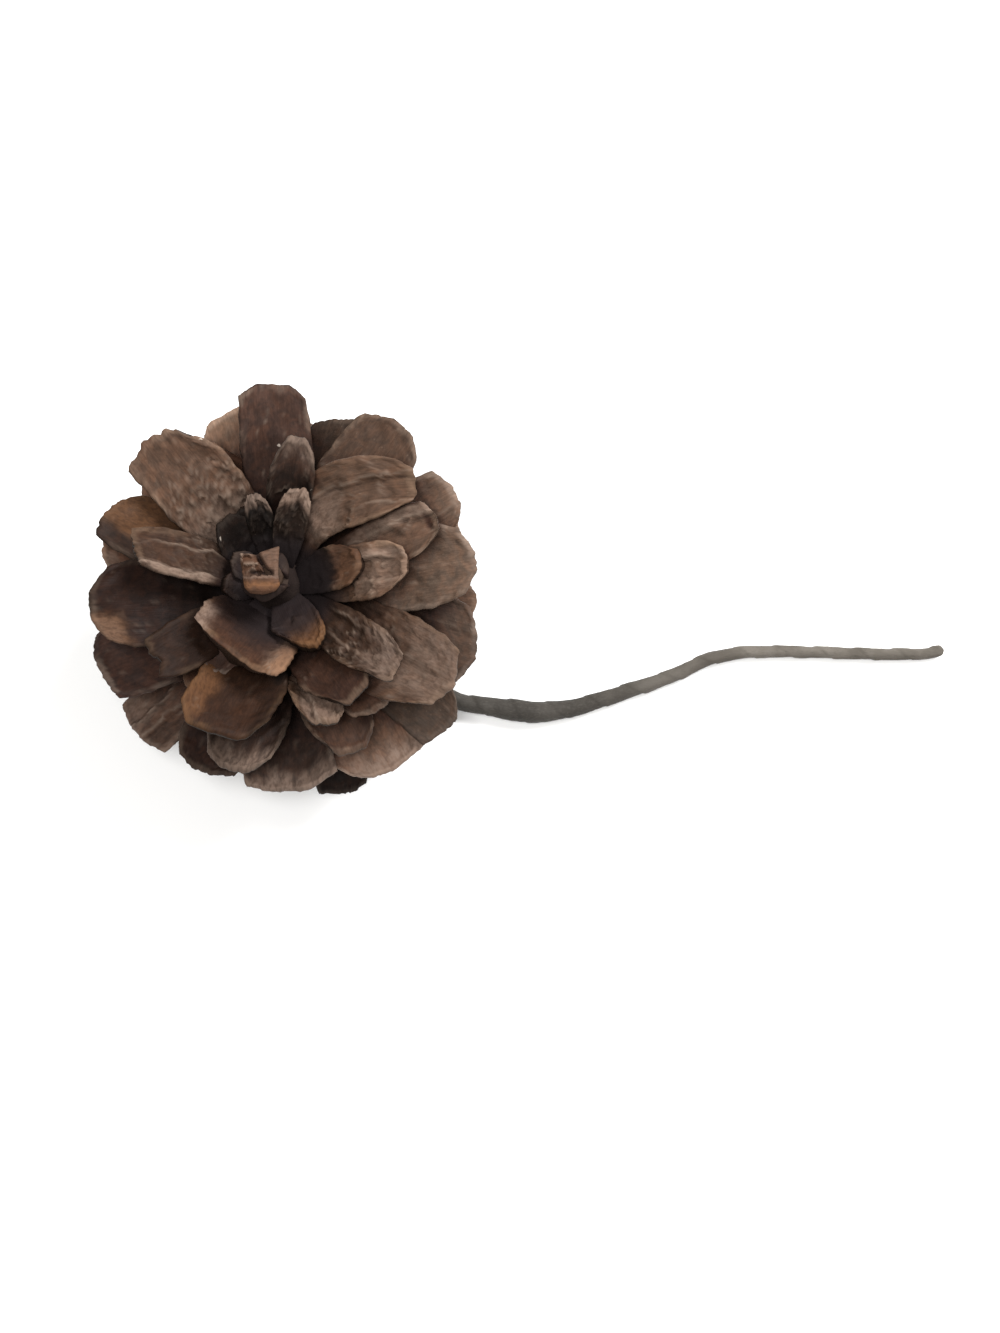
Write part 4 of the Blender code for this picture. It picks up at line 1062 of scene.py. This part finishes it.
def make_tape(route):
    """The wrapped tape: outer skin, rounded closed end, and a short way into its mouth."""
    span = route.length - TAPE_MOUTH
    count = round(span / TAPE_STEP)
    stops = [TAPE_MOUTH + span * k / count for k in range(count + 1)]
    points, places = [], []

    def ring(stop, size):
        middle, level, up = route.frame(stop)
        for k in range(TAPE_SIDES):
            angle = math.tau * k / TAPE_SIDES
            radius = TAPE_BORE if size is None else tape_radius(stop, angle) * size
            points.append((middle + (level * math.cos(angle) + up * math.sin(angle)) * radius) / MM)
            places.append((stop / MM, math.cos(angle), math.sin(angle)))

    ring(TAPE_MOUTH + BORE_DEPTH, None)
    ring(TAPE_MOUTH, None)
    for k, stop in enumerate(stops):
        left = (count - k) * TAPE_STEP
        ring(stop, math.sqrt(1 - max(0.0, 1 - left / (0.8 * MM)) ** 2 * 0.96))
    faces = ring_faces(len(stops) + 2, TAPE_SIDES, 0)
    return new_mesh("stem_tape_wrap", points, faces, {"place": places})


def tape_material():
    """Waxed crepe paper: dull grey-brown, finely wrinkled along the stem, darker beside each overlap."""
    m = Material("stem_tape")
    place = m.attribute("place").outputs["Vector"]
    wrinkle = m.noise(place, 2.2, 4, stretch=(0.9, 3.4, 3.4), distortion=0.6)
    blotch = m.noise(place, 0.16, 3)
    colour = m.mix(m.range(blotch, 0.35, 0.65, 0.0, 1.0), (0.098, 0.084, 0.068, 1), (0.165, 0.145, 0.122, 1))
    colour = m.scaled(colour, m.range(m.split(place)[0], 34.0, 76.0, 0.27, 0.80))
    m.shade({
        # The wrinkles' creases are painted darker: painted shade.
        "Base Color": m.mix(m.range(wrinkle, 0.30, 0.52, 0.45, 0.0), colour, (0.055, 0.046, 0.037, 1)),
        "Roughness": m.range(wrinkle, 0.3, 0.7, 0.62, 0.82),
        "Specular IOR Level": 0.3,
        "Normal": m.bump(wrinkle, 0.7, 0.00016),
    })
    return m.material


def twist_leg(route, start_turn):
    """One leg of the twisted pair, from the stalk outwards."""
    end = TWIST_END - TWIST_START
    count = round(end / TWIST_PITCH * math.tau / TWIST_STEP)
    leg = []
    for k in range(count + 1):
        distance = end * k / count
        middle, level, up = route.frame(distance)
        turn = start_turn + math.tau * distance / TWIST_PITCH
        leg.append(middle + (level * math.cos(turn) + up * math.sin(turn)) * TWIST_RADIUS)
    return leg


def make_wire(route):
    """The wire's loop round the stalk and the start of its twisted legs, as far as they show."""
    shown = round(len(twist_leg(route, 0.0)) / 3)
    start = STEM_AZIMUTH + LOOP_GAP
    sweep = math.tau - 2 * LOOP_GAP
    count = 40
    loop = [
        Vector((LOOP_RADIUS * math.cos(a), LOOP_RADIUS * math.sin(a), LOOP_HEIGHT))
        for a in (start + sweep * k / count for k in range(count + 1))
    ]
    points = [*twist_leg(route, math.pi)[:shown][::-1], *loop, *twist_leg(route, 0.0)[:shown]]
    curve = bpy.data.curves.new("stem_wire_loop", "CURVE")
    curve.dimensions = "3D"
    curve.bevel_depth = WIRE_RADIUS
    curve.bevel_resolution = 4
    curve.use_fill_caps = True
    spline = curve.splines.new("POLY")
    spline.points.add(len(points) - 1)
    for target, point in zip(spline.points, points):
        target.co = (*point, 1)
    spline.use_smooth = True
    return put_in_scene("stem_wire_loop", curve)


def wire_material():
    """Dull drawn steel with faint stains."""
    m = Material("stem_wire")
    stain = m.noise(m.add("ShaderNodeTexCoord", {}).outputs["Object"], 420.0, 4)
    colour = m.mix(m.range(stain, 0.4, 0.66, 0.0, 1.0), (0.36, 0.36, 0.35, 1), (0.17, 0.14, 0.12, 1))
    m.shade({
        "Base Color": colour,
        "Roughness": m.range(stain, 0.35, 0.7, 0.34, 0.62),
        "Metallic": 0.9,
        "Normal": m.bump(stain, 0.3, 0.00005),
    })
    return m.material


def make_floor():
    mesh = bpy.data.meshes.new("floor")
    half = FLOOR_SIZE / 2
    corners = [(-half, -half, 0), (half, -half, 0), (half, half, 0), (-half, half, 0)]
    mesh.from_pydata(corners, [], [(0, 1, 2, 3)])
    floor = put_in_scene("floor", mesh)
    m = Material("floor")
    m.shade({"Base Color": (0.94, 0.937, 0.93, 1), "Roughness": 0.9})
    mesh.materials.append(m.material)


def make_camera():
    camera = put_in_scene("camera", bpy.data.cameras.new("camera"))
    back = Vector((0, -math.cos(CAMERA_ELEVATION), math.sin(CAMERA_ELEVATION)))
    camera.location = CAMERA_TARGET + back * CAMERA_DISTANCE
    camera.rotation_euler = (math.pi / 2 - CAMERA_ELEVATION, 0, 0)
    camera.data.lens = FOCAL_PIXELS / max(PHOTO_SIZE) * SENSOR_WIDTH
    camera.data.sensor_width = SENSOR_WIDTH
    camera.data.clip_start = 0.01
    bpy.context.scene.camera = camera


def make_light(name, place, size, power):
    """A soft square lamp that faces the cone."""
    data = bpy.data.lights.new(name, "AREA")
    data.size, data.energy = size, power
    lamp = put_in_scene(name, data)
    lamp.location = place
    lamp.rotation_euler = (LAMP_AIM - lamp.location).to_track_quat("-Z", "Y").to_euler()


def light_scene():
    """A soft key at the upper right, a fill near the camera's axis that reaches the gaps, and a pale sky."""
    make_light("key", (0.62, 0.55, 0.80), 0.45, 19.0)
    make_light("fill", (-0.02, -0.05, 1.1), 0.30, 8.0)
    world = bpy.data.worlds.new("studio")
    world.use_nodes = True
    background = world.node_tree.nodes["Background"]
    background.inputs["Color"].default_value = (1.0, 0.99, 0.97, 1)
    background.inputs["Strength"].default_value = 0.50
    bpy.context.scene.world = world
    bpy.context.scene.view_settings.view_transform = "Standard"


def dress(piece, material, node):
    """Gives a piece its material and lets it stand for a node of the model."""
    piece.data.materials.clear()
    piece.data.materials.append(material)
    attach(piece, "root")
    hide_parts(node)


def main():
    noise.seed_set(SEED)
    wood = wood_material()
    for tier in range(0, SCALE_COUNT, TIER_SIZE):
        dress(make_scales(f"cone_scales_{tier}", range(tier, tier + TIER_SIZE)), wood, "cone")
    dress(make_bud(), wood, "cone")
    dress(make_axis(), wood, "cone")
    route = Route(stem_points())
    dress(make_tape(route), tape_material(), "stem_tape")
    dress(make_wire(route), wire_material(), "stem_wire")
    make_floor()
    make_camera()
    light_scene()


main()
